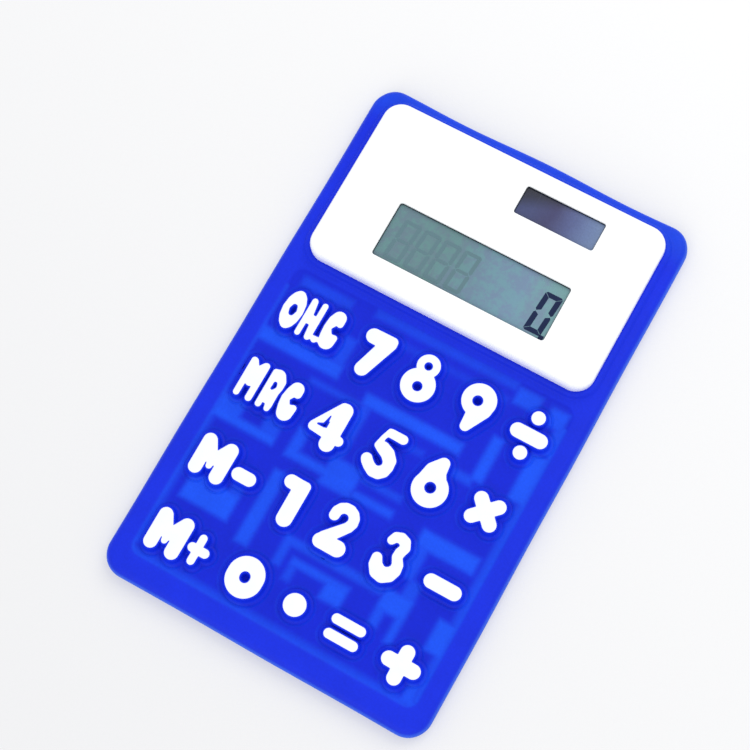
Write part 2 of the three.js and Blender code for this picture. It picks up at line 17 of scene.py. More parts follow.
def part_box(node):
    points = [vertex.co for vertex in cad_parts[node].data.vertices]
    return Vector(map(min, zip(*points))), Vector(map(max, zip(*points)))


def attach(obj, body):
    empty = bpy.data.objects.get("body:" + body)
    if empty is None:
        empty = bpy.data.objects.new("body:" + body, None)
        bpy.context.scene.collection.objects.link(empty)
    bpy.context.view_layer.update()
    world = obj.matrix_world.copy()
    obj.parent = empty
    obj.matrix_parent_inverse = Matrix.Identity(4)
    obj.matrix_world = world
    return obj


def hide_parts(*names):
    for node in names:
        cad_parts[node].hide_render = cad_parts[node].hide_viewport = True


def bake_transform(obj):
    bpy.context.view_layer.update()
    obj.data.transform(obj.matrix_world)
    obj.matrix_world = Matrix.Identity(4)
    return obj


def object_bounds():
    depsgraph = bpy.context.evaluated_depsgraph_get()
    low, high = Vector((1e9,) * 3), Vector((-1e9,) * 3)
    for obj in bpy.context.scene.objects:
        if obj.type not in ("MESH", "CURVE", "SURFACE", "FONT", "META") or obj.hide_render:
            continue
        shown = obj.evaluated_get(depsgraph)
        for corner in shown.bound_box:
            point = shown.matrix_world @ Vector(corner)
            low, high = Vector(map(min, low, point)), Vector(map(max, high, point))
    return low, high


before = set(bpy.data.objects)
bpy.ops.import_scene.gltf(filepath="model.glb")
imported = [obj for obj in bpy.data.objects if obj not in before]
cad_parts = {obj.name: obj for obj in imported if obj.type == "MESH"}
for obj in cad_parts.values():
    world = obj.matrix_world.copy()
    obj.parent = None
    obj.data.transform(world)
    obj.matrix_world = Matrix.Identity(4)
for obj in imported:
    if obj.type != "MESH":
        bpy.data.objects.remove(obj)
cad_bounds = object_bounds()
scene = bpy.context.scene

MM = 0.001  # metres
FAR = 99.0
STEP_WIDTH = 0.04
WELD = 0.002
SHARP = 50  # degrees


def node_box(node):
    """Lowest and highest corner of a CAD node, in millimetres."""
    low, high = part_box(node)
    return np.array(low) / MM, np.array(high) / MM


def shown(name, data):
    """Puts a mesh, a light or a camera into the scene as an object."""
    made = bpy.data.objects.new(name, data)
    scene.collection.objects.link(made)
    return made


# ---- Camera ----
CAMERA_PLACE = Vector((54.87, -68.44, 335.99)) * MM
CAMERA_FORWARD = Vector((-0.1785, 0.2028, -0.9628)).normalized()
CAMERA_UP = Vector((-0.4609, 0.8473, 0.2639))
CAMERA_LENS = 83.36
CAMERA_SENSOR = 36

camera = shown("camera", bpy.data.cameras.new("camera"))
scene.camera = camera
camera_right = CAMERA_FORWARD.cross(CAMERA_UP).normalized()
camera_up = camera_right.cross(CAMERA_FORWARD)
turn = Matrix((camera_right, camera_up, -CAMERA_FORWARD)).transposed()
camera.matrix_world = Matrix.Translation(CAMERA_PLACE) @ turn.to_4x4()
camera.data.lens = CAMERA_LENS
camera.data.sensor_width = CAMERA_SENSOR
camera.data.clip_start = 0.01
camera.data.clip_end = 10


# ---- Flat shapes ----
def reach_from(point, reach, heading):
    return point[0] + reach * math.cos(heading), point[1] + reach * math.sin(heading)


def drop_repeats(points):
    apart = np.hypot(*(points - np.roll(points, 1, axis=0)).T) > 1e-5
    return points[apart]


class Box:
    """Rectangle with round corners. Distance is negative inside it."""

    def __init__(self, x, y, width, length, corner):
        self.x, self.y, self.width, self.length, self.corner = x, y, width, length, corner

    def distance(self, x, y):
        across = np.abs(x - self.x) - self.width / 2 + self.corner
        along = np.abs(y - self.y) - self.length / 2 + self.corner
        outside = np.hypot(np.maximum(across, 0), np.maximum(along, 0))
        return outside + np.minimum(np.maximum(across, along), 0) - self.corner

    def loop(self, grow=0.0, spacing=0.5):
        """Points along the outline, grown outwards, anticlockwise."""
        corner = max(self.corner + grow, 0.02)
        half_x = self.width / 2 + grow - corner
        half_y = self.length / 2 + grow - corner
        turns = max(3, math.ceil(corner * math.pi / 2 / spacing * 1.3), math.ceil(5 * corner**0.5))
        points = []
        for i, (side_x, side_y) in enumerate(((1, 1), (-1, 1), (-1, -1), (1, -1))):
            start = i * math.pi / 2
            centre = self.x + side_x * half_x, self.y + side_y * half_y
            for k in range(turns + 1):
                points.append(reach_from(centre, corner, start + math.pi / 2 * k / turns))
            run = 2 * (half_x if i % 2 == 0 else half_y)
            steps = int(run / spacing)
            last = points[-1]
            for k in range(1, steps):
                points.append(reach_from(last, run * k / steps, start + math.pi))
        return drop_repeats(np.array(points))


def disc(x, y, radius):
    return Box(x, y, 2 * radius, 2 * radius, radius)


def outline_of(node, corner):
    """The footprint of a CAD node."""
    low, high = node_box(node)
    return Box((low[0] + high[0]) / 2, (low[1] + high[1]) / 2, high[0] - low[0], high[1] - low[1], corner)


def nearest_of(shapes, x, y):
    """Distance to the nearest of several shapes."""
    return np.minimum.reduce([shape.distance(x, y) for shape in shapes])


def loops_of(shapes, grows, spacing):
    return [shape.loop(grow, spacing) for shape in shapes for grow in grows]


def step_loops(shapes, grow, spacing=0.5):
    """Pairs of loops, close together, that hold a step in height between them."""
    return loops_of(shapes, (grow - STEP_WIDTH / 2, grow + STEP_WIDTH / 2), spacing)


def ease(low, high, value):
    """0 at low, 1 at high, and smooth between."""
    share = np.clip((value - low) / (high - low), 0, 1)
    return share * share * (3 - 2 * share)


POINTS_AT_ONCE = 4000


def inside(loop, x, y):
    """True where a point lies within a closed loop."""
    result = np.zeros(len(x), bool)
    near = np.flatnonzero(
        (x > loop[:, 0].min()) & (x < loop[:, 0].max()) & (y > loop[:, 1].min()) & (y < loop[:, 1].max())
    )
    ends = np.roll(loop, -1, axis=0)
    for chunk in np.array_split(near, max(1, len(near) // POINTS_AT_ONCE)):
        px, py = x[chunk, None], y[chunk, None]
        spans = (loop[:, 1] > py) != (ends[:, 1] > py)
        rise = np.where(ends[:, 1] == loop[:, 1], 1, ends[:, 1] - loop[:, 1])
        crossing = loop[:, 0] + (py - loop[:, 1]) * (ends[:, 0] - loop[:, 0]) / rise
        result[chunk] = (spans & (px < crossing)).sum(1) % 2 == 1
    return result


# ---- Printed characters: chains of discs (x, y, radius) around the key's centre ----
def sweep(x, y, radius, start, end, thickness, steps):
    angles = np.radians(np.linspace(start, end, steps + 1))
    return [(x + radius * math.cos(a), y + radius * math.sin(a), thickness) for a in angles]


LETTER_M = [
    [(-5.08, 3.1, 1.43), (-5.08, -2.8, 1.41)],
    [(-0.28, 3.1, 1.48), (-0.28, -2.8, 1.46)],
    [(-4.88, 3.1, 1.3), (-2.7, -0.3, 1.1), (-0.48, 3.1, 1.3)],
    [(-2.73, 0.3, 0.9), (-2.73, -1.45, 0.65)],
]

STROKES = {
    "on_c": [
        [
            (-4.24, 3.35, 1.15), (-4.23, 2.65, 1.64), (-4.22, 1.75, 1.99), (-4.22, 0.25, 2.18),
            (-4.22, -1.25, 1.99), (-4.21, -2.15, 1.64), (-4.2, -2.85, 1.15),
        ],
        [(-1.13, 3.85, 0.6), (-1.15, -3.42, 0.58)],
        [(-1.05, 3.75, 0.62), (-0.6, 0.8, 0.62)],
        [(-0.7, 0.1, 1.05), (0.8, 0.1, 1.05)],
        [(0.75, -0.5, 0.62), (1.08, -3.35, 0.64)],
        [(1.22, 3.85, 0.61), (1.22, -2.4, 0.61)],
        [(1.6, -3, 0.5), (3.6, -2.85, 0.5)],
        [(2.55, -3.2, 0.64)],
        [(5.68, 2, 0.7), (4.95, 3.05, 1.43), (4.25, 2.15, 1.15), (3.68, 0.4, 0.73), (4.2, -1.2, 1.13)],
        [(4.2, -1.2, 1.13), (4.9, -2.35, 1.65), (6, -1.1, 0.65)],
    ],
    "7": [[(-1.66, 3.16, 1.58), (1.8, 3.2, 1.62), (-0.55, -3.82, 1.48)], [(2.3, 3.75, 1.08)]],
    "8": [[(-0.4, 2.9, 2.4)], [(-0.42, -1.5, 3.52)]],
    "9": [[(0.1, 1.5, 3.52)], [(1.1, 0.3, 2.35), (0.08, -4.3, 1.05)]],
    "divide": [[(0.18, 3.9, 1.41)], [(-2.3, -0.08, 1.51), (2.6, -0.08, 1.51)], [(0.21, -3.88, 1.41)]],
    "mrc": [
        [(-5.66, 4.45, 0.66), (-5.64, -2.9, 0.64)],
        [(-2.88, 4.4, 0.7), (-2.9, -2.85, 0.7)],
        [(-5.5, 4.3, 0.75), (-4.3, 2.2, 0.9), (-2.98, 4.3, 0.75)],
        [(-4.3, 2.1, 1.1), (-4.28, 0.35, 1.1)],
        [(-0.6, 4.3, 0.68), (-0.61, -2.92, 0.64)],
        [(0.3, 3.75, 1.45), (0.95, 2.9, 1.35), (1, 1.9, 1.3), (0.8, 0.6, 1.25)],
        [(0.85, 0.3, 1.2), (1.38, -2.2, 0.72), (1.4, -2.98, 0.6)],
        [(0, 0.3, 0.9), (0.35, -1.55, 0.7)],
        [(5.45, 2.4, 0.85), (4.85, 3.2, 1.45), (4.2, 2.3, 1.15), (3.6, 0.75, 0.83), (4.1, -0.85, 1.15)],
        [(4.1, -0.85, 1.15), (4.95, -2.05, 1.65), (6.05, -0.5, 0.68)],
    ],
    "4": [
        [(0.97, 3.92, 1.58), (0.97, -3.55, 1.58)],
        [(0.55, 4.35, 1.1), (-3.2, -1.35, 0.95)],
        [(-3.25, -1.6, 0.95), (2.75, -2.05, 1)],
    ],
    "5": [
        [(-0.1, 4.4, 0.92), (2.5, 4.37, 0.96)],
        [(-0.45, 4.65, 0.62), (-1.15, 3, 0.5), (-1.35, 1.15, 0.72), (-0.2, 1.1, 1.3), (1.15, 0.5, 1.35)],
        [
            (1.15, 0.5, 1.35), (2.2, -0.6, 1.3), (2.45, -1.9, 1.15), (2.1, -3, 1.25), (1.3, -3.7, 1.3),
            (0.2, -3.85, 1.22), (-0.9, -3.3, 1.15), (-1.75, -2.6, 1.15), (-2.05, -2.2, 1.12),
        ],
    ],
    "6": [[(0.15, -1.72, 3.68)], [(0.17, 4, 1.22), (-0.55, 1.6, 2.2), (-0.2, -0.6, 3)]],
    "multiply": [[(-2, 1.56, 1.42), (1.8, -2.4, 1.42)], [(1.86, 1.56, 1.42), (-2.15, -2.42, 1.4)]],
    "m_minus": [*LETTER_M, [(3.26, -0.14, 1.36), (5.74, -0.14, 1.36)]],
    "1": [[(-1.31, 3.6, 1.4), (1.1, 3.5, 1.4)], [(1.11, 3.3, 1.65), (1.11, -3.45, 1.62)], [(1.75, 3.95, 1)]],
    "2": [
        sweep(0, 2.25, 2, 190, -35, 1.06, 8),
        [(1.65, 1.05, 1.05), (-1.6, -2.9, 1.3)],
        [(-1.95, -3.75, 1.5), (1.75, -3.62, 1.65)],
    ],
    "3": [
        [
            (-1.42, 2.95, 0.85), (-0.9, 3.9, 1), (0.1, 4.2, 1.08), (1.05, 3.85, 1.1),
            (1.65, 2.8, 1), (1.2, 1.6, 1.05), (1.1, 0.6, 1), (1.95, -0.8, 1.1),
            (2, -2, 1.2), (1.35, -3.15, 1.45), (0.2, -3.8, 1.57), (-0.9, -3.6, 1.55),
            (-1.9, -2.6, 1.3), (-2.3, -1.3, 1.03),
        ],
    ],
    "subtract": [[(-2.76, -0.27, 1.45), (2.25, -0.27, 1.45)]],
    "m_plus": [*LETTER_M, [(3.85, 2.5, 0.8), (3.85, -2.4, 0.8)], [(2.76, 0.06, 0.94), (5.56, 0.06, 0.94)]],
    "0": [[(0.25, 0.36, 3.77), (0.25, -0.46, 3.77)]],
    "point": [[(0.03, 0, 2.28)]],
    "equals": [[(-3.2, 1.66, 1), (2.07, 1.66, 1)], [(-3.2, -1.5, 1), (2.07, -1.5, 1)]],
    "add": [[(-0.03, 2.57, 1.45), (-0.03, -2.8, 1.43)], [(-2.65, -0.07, 1.47), (2.6, -0.07, 1.47)]],
}

COUNTERS = {
    "on_c": [[(-4.2, 0.95, 0.58), (-4.2, 0.25, 0.8), (-4.22, -0.5, 0.58)]],
    "8": [[(-0.4, 2.85, 0.88)], [(-0.42, -1.75, 1.05)]],
    "9": [[(-0.14, 1.35, 1.1)]],
    "mrc": [[(0.42, 2.2, 0.42), (0.52, 1.65, 0.48), (0.3, 1.05, 0.33)]],
    "4": [[(-1.05, 1.8, 0.12), (-1.25, -0.45, 0.5), (-2.6, -0.75, 0.2)]],
    "6": [[(0.09, -1.41, 1.18)]],
    "0": [[(0.23, 0.05, 1.08), (0.23, -0.15, 1.08)]],
}

KEY_ROWS = (
    ("on_c", "7", "8", "9", "divide"),
    ("mrc", "4", "5", "6", "multiply"),
    ("m_minus", "1", "2", "3", "subtract"),
    ("m_plus", "0", "point", "equals", "add"),
)
COLUMN_X = (-23.29, -8.82, 2.48, 14.07, 25.86)
FIRST_ROW_Y = 4.9
ROW_PITCH = 16.93
# every key's place, as its row from the top and its column from the left
KEYS = [(row, column) for row in range(len(KEY_ROWS)) for column in range(len(COLUMN_X))]


def row_y(row):
    return FIRST_ROW_Y - ROW_PITCH * row


def link_distance(x, y, first, second):
    """Distance to the round-ended shape that runs from one disc to the next."""
    dx, dy = second[0] - first[0], second[1] - first[1]
    span = dx * dx + dy * dy
    x, y = x - first[0], y - first[1]
    side = np.abs(x * dy - y * dx) / span
    along = (x * dx + y * dy) / span
    taper = first[2] - second[2]
    lean = math.sqrt(span - taper * taper)
    cross = lean * along - taper * side
    dot = lean * side + taper * along
    square = side * side + along * along
    near_first = np.sqrt(span * square) - first[2]
    near_second = np.sqrt(np.maximum(span * (square + 1 - 2 * along), 0)) - second[2]
    return np.where(cross < 0, near_first, np.where(cross > lean, near_second, dot - first[2]))


def chains_distance(x, y, chains):
    """Distance to the nearest of several chains of discs."""
    nearest = np.full(np.shape(x), FAR)
    for chain in chains:
        if len(chain) == 1:
            found = np.hypot(x - chain[0][0], y - chain[0][1]) - chain[0][2]
            nearest = np.minimum(nearest, found)
        for first, second in zip(chain, chain[1:]):
            nearest = np.minimum(nearest, link_distance(x, y, first, second))
    return nearest


def print_distance(character, x, y):
    """Distance outside the printed character's outline, around the key's centre; negative on the print."""
    outline = chains_distance(x, y, STROKES[character])
    if character in COUNTERS:
        outline = np.maximum(outline, -chains_distance(x, y, COUNTERS[character]))
    return outline


def contours(field, xs, ys, level, spacing):
    """Closed loops where a sampled field crosses a level."""
    values = field - level
    below = values < 0
    cell = below[:-1, :-1] * 1 + below[:-1, 1:] * 2 + below[1:, 1:] * 4 + below[1:, :-1] * 8
    sides = {
        1: ((3, 0),), 2: ((0, 1),), 3: ((3, 1),), 4: ((1, 2),), 5: ((3, 2), (1, 0)), 6: ((0, 2),),
        7: ((3, 2),), 8: ((2, 3),), 9: ((2, 0),), 10: ((0, 3), (2, 1)), 11: ((2, 1),),
        12: ((1, 3),), 13: ((1, 0),), 14: ((0, 3),),
    }
    corners = (((0, 0), (0, 1)), ((0, 1), (1, 1)), ((1, 0), (1, 1)), ((0, 0), (1, 0)))
    follow, place = {}, {}
    for i, j in zip(*np.nonzero((cell > 0) & (cell < 15))):
        for pair in sides[cell[i, j]]:
            keys = []
            for side in pair:
                (i0, j0), (i1, j1) = [(i + di, j + dj) for di, dj in corners[side]]
                key = (i0, j0, i1, j1)
                if key not in place:
                    share = values[i0, j0] / (values[i0, j0] - values[i1, j1])
                    place[key] = (xs[j0] + share * (xs[j1] - xs[j0]), ys[i0] + share * (ys[i1] - ys[i0]))
                keys.append(key)
            follow[keys[0]] = keys[1]
    loops = []
    while follow:
        start = key = next(iter(follow))
        chain = []
        while key in follow:
            chain.append(place[key])
            key = follow.pop(key)
        if key == start and len(chain) > 7:
            loops.append(resample(np.array(chain), spacing))
    return loops


def resample(points, spacing):
    """The same closed loop, with its points evenly spaced."""
    closed = np.vstack([points, points[:1]])
    run = np.concatenate([[0], np.cumsum(np.hypot(*np.diff(closed, axis=0).T))])
    count = max(8, round(run[-1] / spacing))
    stops = np.linspace(0, run[-1], count, endpoint=False)
    return np.stack([np.interp(stops, run, closed[:, k]) for k in (0, 1)], axis=1)


PRINT_GRID = 0.11
PRINT_REACH_X = 9.2
PRINT_REACH_Y = 8.2
PRINT_MARGIN = 1.8


@functools.cache
def sampled_print(character):
    """Distance to a character over a fine grid that covers its key."""
    xs = np.arange(-PRINT_REACH_X, PRINT_REACH_X + 0.2, PRINT_GRID)
    ys = np.arange(-PRINT_REACH_Y, PRINT_REACH_Y + 0.2, PRINT_GRID)
    return print_distance(character, *np.meshgrid(xs, ys)), xs, ys


def key_loops(row, column, level, spacing):
    """Loops that run at one distance outside the key's character."""
    centre = np.array([COLUMN_X[column], row_y(row)])
    return [loop + centre for loop in contours(*sampled_print(KEY_ROWS[row][column]), level, spacing)]


def key_ring(row, column, level, spacing):
    """The outermost of those loops."""
    return max(key_loops(row, column, level, spacing), key=len)


# ---- Meshes made of an upper and a lower sheet of triangles ----
GRID_ROW = 0.87
GRID_CLEAR = 0.55


def sheet(loops, spacing, region):
    """Triangles that fill region, with the loops kept as edges. Region is (outer loop, holes)."""
    outer, holes = region
    loops = [outer, *holes, *loops]
    points = np.vstack(loops)
    tree = KDTree(len(points))
    for i, (x, y) in enumerate(points):
        tree.insert((x, y, 0), i)
    tree.balance()
    edges, first = [], 0
    for loop in loops:
        count = len(loop)
        edges += [(first + k, first + (k + 1) % count) for k in range(count)]
        first += count
    low, high = outer.min(0), outer.max(0)
    fill = []
    for i, y in enumerate(np.arange(low[1] + spacing / 2, high[1], spacing * GRID_ROW)):
        for x in np.arange(low[0] + spacing * (0.25 + 0.5 * (i % 2)), high[0], spacing):
            if tree.find((x, y, 0))[2] > GRID_CLEAR * spacing:
                fill.append((x, y))
    if fill:
        points = np.vstack([points, fill])
    found = delaunay_2d_cdt([Vector(p) for p in points], edges, [], 0, 1e-5)
    flat = np.array([tuple(p) for p in found[0]])
    faces = np.array([tuple(f) for f in found[2]])
    centre = flat[faces].mean(1)
    kept = inside(outer, centre[:, 0], centre[:, 1])
    for hole in holes:
        kept &= ~inside(hole, centre[:, 0], centre[:, 1])
    return flat, faces[kept]


def solid(name, region, upper, lower, top, bottom, sharp=SHARP):
    """Closed mesh over a region, between heights top and bottom at x, y. Upper and lower are each the loops
    that the sheet of triangles keeps as edges, and the spacing of its points."""
    points, faces, count = [], [], 0
    for (loops, spacing), height, flip in ((upper, top, False), (lower, bottom, True)):
        flat, triangles = sheet(loops, spacing, region)
        used = np.unique(triangles)
        order = np.zeros(len(flat), int)
        order[used] = np.arange(len(used))
        x, y = flat[used].T
        points.append(np.stack([x, y, height(x, y)], axis=1))
        triangles = order[triangles] + count
        faces += (triangles[:, ::-1] if flip else triangles).tolist()
        count += len(used)
    for loop in (region[0], *region[1]):
        x, y = loop.T
        high, low = top(x, y), bottom(x, y)
        if np.max(high - low) < 1e-3:
            continue
        size = len(loop)
        points.append(np.stack([x, y, high], axis=1))
        points.append(np.stack([x, y, low], axis=1))
        for k in range(size):
            after = (k + 1) % size
            faces.append((count + k, count + size + k, count + size + after, count + after))
        count += 2 * size
    mesh = bpy.data.meshes.new(name)
    mesh.from_pydata(np.vstack(points).tolist(), [], faces)
    return finish_mesh(name, mesh, sharp)


def shade(shape, sharp, mesh):
    """Smooth faces, crisp at edges that turn by more than sharp degrees; the result goes into the mesh."""
    limit = math.radians(sharp)
    for edge in shape.edges:
        edge.smooth = edge.calc_face_angle(0) < limit
    for face in shape.faces:
        face.smooth = True
    shape.to_mesh(mesh)
    shape.free()


def finish_mesh(name, mesh, sharp):
    """Welds the mesh, turns its faces out, shades it and shows it, in metres."""
    shape = bmesh.new()
    shape.from_mesh(mesh)
    bmesh.ops.remove_doubles(shape, verts=shape.verts, dist=WELD)
    bmesh.ops.dissolve_degenerate(shape, edges=shape.edges, dist=1e-4)
    bmesh.ops.recalc_face_normals(shape, faces=shape.faces)
    shade(shape, sharp, mesh)
    mesh.transform(Matrix.Scale(MM, 4))
    return shown(name, mesh)


def stands_for(piece, material, slot, body, *nodes):
    """The piece takes the place of CAD nodes, in one material, and rides on one body."""
    piece.data.materials.append(material)
    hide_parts(*nodes)
    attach(piece, body)


def vertex_places(mesh):
    """Where a mesh's points are, in millimetres."""
    flat = np.zeros(len(mesh.vertices) * 3, np.float32)
    mesh.vertices.foreach_get("co", flat)
    return flat.reshape(-1, 3).astype(float) / MM


def set_tone(mesh, colours):
    """Stores a colour at each vertex, as linear red, green and blue."""
    layer = mesh.color_attributes.new("tone", "FLOAT_COLOR", "POINT")
    rows = np.hstack([colours, np.ones((len(colours), 1))])
    layer.data.foreach_set("color", rows.astype(np.float32).ravel())


# ---- Colours and materials ----
def linear(red, green, blue):
    """Linear colour from a screen colour of 0 to 255."""
    return tuple(
        c / 12.92 if c <= 0.04045 else ((c + 0.055) / 1.055) ** 2.4
        for c in (red / 255, green / 255, blue / 255)
    )


class Finish:
    """A procedural material, built up node by node around a Principled shader."""

    def __init__(self, name, **sockets):
        self.material = bpy.data.materials.new(name)
        self.material.use_nodes = True
        self.tree = self.material.node_tree
        self.shader = self.tree.nodes["Principled BSDF"]
        for socket, value in sockets.items():
            self.shader.inputs[socket.replace("_", " ")].default_value = value
        self.place = self.tree.nodes.new("ShaderNodeTexCoord").outputs["Object"]

    def feed(self, socket, value):
        """Sets a socket to a number or a colour, or links another node's output to it."""
        if isinstance(value, bpy.types.NodeSocket):
            self.tree.links.new(value, socket)
        elif socket.type == "RGBA":
            socket.default_value = (*value, 1)
        else:
            socket.default_value = value

    def node(self, kind, inputs, **settings):
        made = self.tree.nodes.new("ShaderNode" + kind)
        for name, value in settings.items():
            setattr(made, name, value)
        for name, value in inputs.items():
            self.feed(made.inputs[name], value)
        return made

    def stretched(self, scale, turn=(0, 0, 0)):
        inputs = {"Vector": self.place, "Scale": scale, "Rotation": turn}
        return self.node("Mapping", inputs).outputs["Vector"]

    def noise(self, per_mm, detail=3.0, rough=0.55, place=None):
        inputs = {"Vector": place or self.place, "Scale": per_mm / MM, "Detail": detail, "Roughness": rough}
        return self.node("TexNoise", inputs).outputs["Fac"]

    def tone(self):
        """The colour stored at each vertex by set_tone."""
        return self.node("Attribute", {}, attribute_name="tone").outputs["Color"]

    def along(self, axis):
        return self.node("SeparateXYZ", {"Vector": self.place}).outputs[axis]

    def share_along(self, axis, start, reach):
        """How far along a stretch of the axis, in millimetres, a point is: 0 at its start, 1 at its end."""
        return self.math("MULTIPLY_ADD", self.along(axis), 1 / (reach * MM), -start / reach, clamp=True)

    def math(self, operation, *values, clamp=False):
        return self.node("Math", dict(enumerate(values)), operation=operation, use_clamp=clamp).outputs[0]

    def ramp(self, source, *stops):
        """Colours, or shares of grey, at places from 0 to 1."""
        made = self.node("ValToRGB", {"Fac": source})
        bar = made.color_ramp
        while len(bar.elements) < len(stops):
            bar.elements.new(0.5)
        for element, (place, colour) in zip(bar.elements, stops):
            element.position = place
            element.color = (*(colour if isinstance(colour, tuple) else (colour,) * 3), 1)
        return made.outputs["Color"]

    def mix(self, share, first, second, blend="MIX"):
        inputs = {0: share, 6: first, 7: second}
        return self.node("Mix", inputs, data_type="RGBA", blend_type=blend).outputs[2]

    def bump(self, height, depth_mm, strength=1.0):
        inputs = {"Height": height, "Distance": depth_mm * MM, "Strength": strength}
        normal = self.shader.inputs["Normal"]
        if normal.is_linked:
            inputs["Normal"] = normal.links[0].from_socket
        self.feed(normal, self.node("Bump", inputs).outputs["Normal"])

    def done(self, colour, rough, *bumps):
        """Adds the colour, the roughness as (source, low, high), and bumps, and gives the material."""
        self.feed(self.shader.inputs["Base Color"], colour)
        if rough:
            spread = self.node("MapRange", {"Value": rough[0], "To Min": rough[1], "To Max": rough[2]})
            self.feed(self.shader.inputs["Roughness"], spread.outputs["Result"])
        for bump in bumps:
            self.bump(*bump)
        return self.material


def darker(colour, share):
    return tuple(share * c for c in colour)


def clouded(name, first, second, cloud, rough, bump, stretch=(1, 1, 1), **sockets):
    """Wavers between two colours, with roughness and bump to match. Cloud is the noise's settings."""
    made = Finish(name, **sockets)
    share = made.noise(*cloud, place=made.stretched(stretch))
    return made.done(made.mix(share, first, second), (share, *rough), (share, *bump))


def silicone():
    """Soft moulded rubber. Its colour comes from the mesh, with a faint cloudiness and a fine matt grain."""
    made = Finish("blue_silicone", Specular_IOR_Level=0.13)
    cloud = made.noise(0.12, 4)
    grain = made.noise(2.2, 2)
    drift = made.ramp(cloud, (0.3, (0.72, 0.78, 0.84)), (0.7, (1.2, 1.16, 1.12)))
    colour = made.mix(0.35, made.tone(), drift, "MULTIPLY")
    colour = made.mix(0.3, colour, made.ramp(grain, (0.35, 0.86), (0.65, 1.12)), "MULTIPLY")
    return made.done(colour, (cloud, 0.42, 0.6), (made.noise(0.35, 3), 0.02, 0.6), (grain, 0.006, 0.7))


def key_ink():
    """White silk-screened ink, a little uneven."""
    made = Finish("key_ink", Specular_IOR_Level=0.25)
    mottle = made.noise(0.5, 4)
    colour = made.mix(mottle, linear(228, 231, 234), linear(236, 238, 239))
    return made.done(colour, (mottle, 0.4, 0.62), (made.noise(3.0, 2), 0.008, 0.6), (mottle, 0.02, 0.5))


def white_plastic():
    """Glossy moulded plastic with a faint orange peel and fine scuffs."""
    made = Finish("white_plastic", Specular_IOR_Level=0.4, Coat_Weight=0.15, Coat_Roughness=0.12)
    peel = made.noise(0.25, 3)
    scuff = made.noise(0.9, 4, 0.7, made.stretched((1, 6, 1), (0, 0, 0.6)))
    colour = made.mix(peel, linear(243, 245, 246), linear(248, 249, 250))
    return made.done(colour, (scuff, 0.26, 0.42), (peel, 0.01, 0.4), (made.noise(4.0, 1), 0.002, 0.5))


SILICONE = silicone()
KEY_INK = key_ink()
WHITE_PLASTIC = white_plastic()


# ---- Silicone body ----
body_size = np.round(np.subtract(cad_bounds[1], cad_bounds[0]) / MM, 3)
OUTLINE = Box(0, 0, body_size[0], body_size[1], 5)
PLATE = outline_of("display_bezel", 4)
THROAT = Box(PLATE.x, PLATE.y, 61, 33.9, 2.9)
SLOT = Box(0, -15.3, 63, 73.6, 1)
PANEL = Box(0.05, -19.1, 63.5, 66.3, 2.2)
SKIN_TOP = 4.0
MIDDLE = SKIN_TOP / 2
EDGE = 1.8
KEY_HOLE = 1.2
PANEL_DEPTH = 0.14
TRACK_RISE = 0.07
SLOT_ABOVE = 0.2
SLOT_BELOW = 0.55
PLATE_STEP = (0.12, 0.16, 0.3, 0.5)


def key_distance(x, y):
    """Distance to the nearest printed character; characters further than a few millimetres count as far."""
    nearest = np.full(np.shape(x), FAR)
    for row, column in KEYS:
        dx, dy = x - COLUMN_X[column], y - row_y(row)
        near = (np.abs(dx) < PRINT_REACH_X + PRINT_MARGIN) & (np.abs(dy) < PRINT_REACH_Y + PRINT_MARGIN)
        found = print_distance(KEY_ROWS[row][column], dx[near], dy[near])
        nearest[near] = np.minimum(nearest[near], found)
    return nearest


def edge_drop(x, y):
    """How far the rounded rim falls below the flat top, up to half the slab's thickness."""
    inset = np.clip(-OUTLINE.distance(x, y), 0, EDGE)
    return MIDDLE * (1 - np.sqrt(np.maximum(0, 1 - ((EDGE - inset) / EDGE) ** 2)))


LIP_OFFSET = (-0.06, -0.03, 0.12, 0.4, 0.8, 1.1, 1.35, 1.6, 1.9)
LIP_RISE = (-0.7, 0.8, 0.87, 0.9, 0.86, 0.62, 0.2, 0.03, 0)
WEB_OFFSET = (1.2, 1.33, 1.5, 1.68, 1.9, 2.1)
WEB_RISE = (-0.14, -0.12, -0.05, 0.03, 0.03, 0)


def undulation(x, y):
    """The slight, slow unevenness of a thin soft sheet."""
    return 0.03 * np.sin(x * 0.33 + 1.3) * np.sin(y * 0.27 + 0.4) + 0.02 * np.sin(x * 0.71 - y * 0.55)


def skin_top(x, y):
    panel = ease(-0.35, 0.35, -PANEL.distance(x, y))
    height = SKIN_TOP - edge_drop(x, y) - PANEL_DEPTH * panel + panel * undulation(x, y)
    height += np.interp(PLATE.distance(x, y), LIP_OFFSET, LIP_RISE)
    height += TRACK_RISE * track_light(x, y) * panel
    return height + np.interp(key_distance(x, y), WEB_OFFSET, WEB_RISE)


def skin_inside(x, y):
    return MIDDLE + SLOT_ABOVE * (SLOT.distance(x, y) < 0)


def back_inside(x, y):
    return MIDDLE - SLOT_BELOW * (SLOT.distance(x, y) < 0)


def back_bottom(x, y):
    recess = np.interp(PLATE.distance(x, y), PLATE_STEP, (1.3, 0.25, 0.05, 0))
    return edge_drop(x, y) + recess


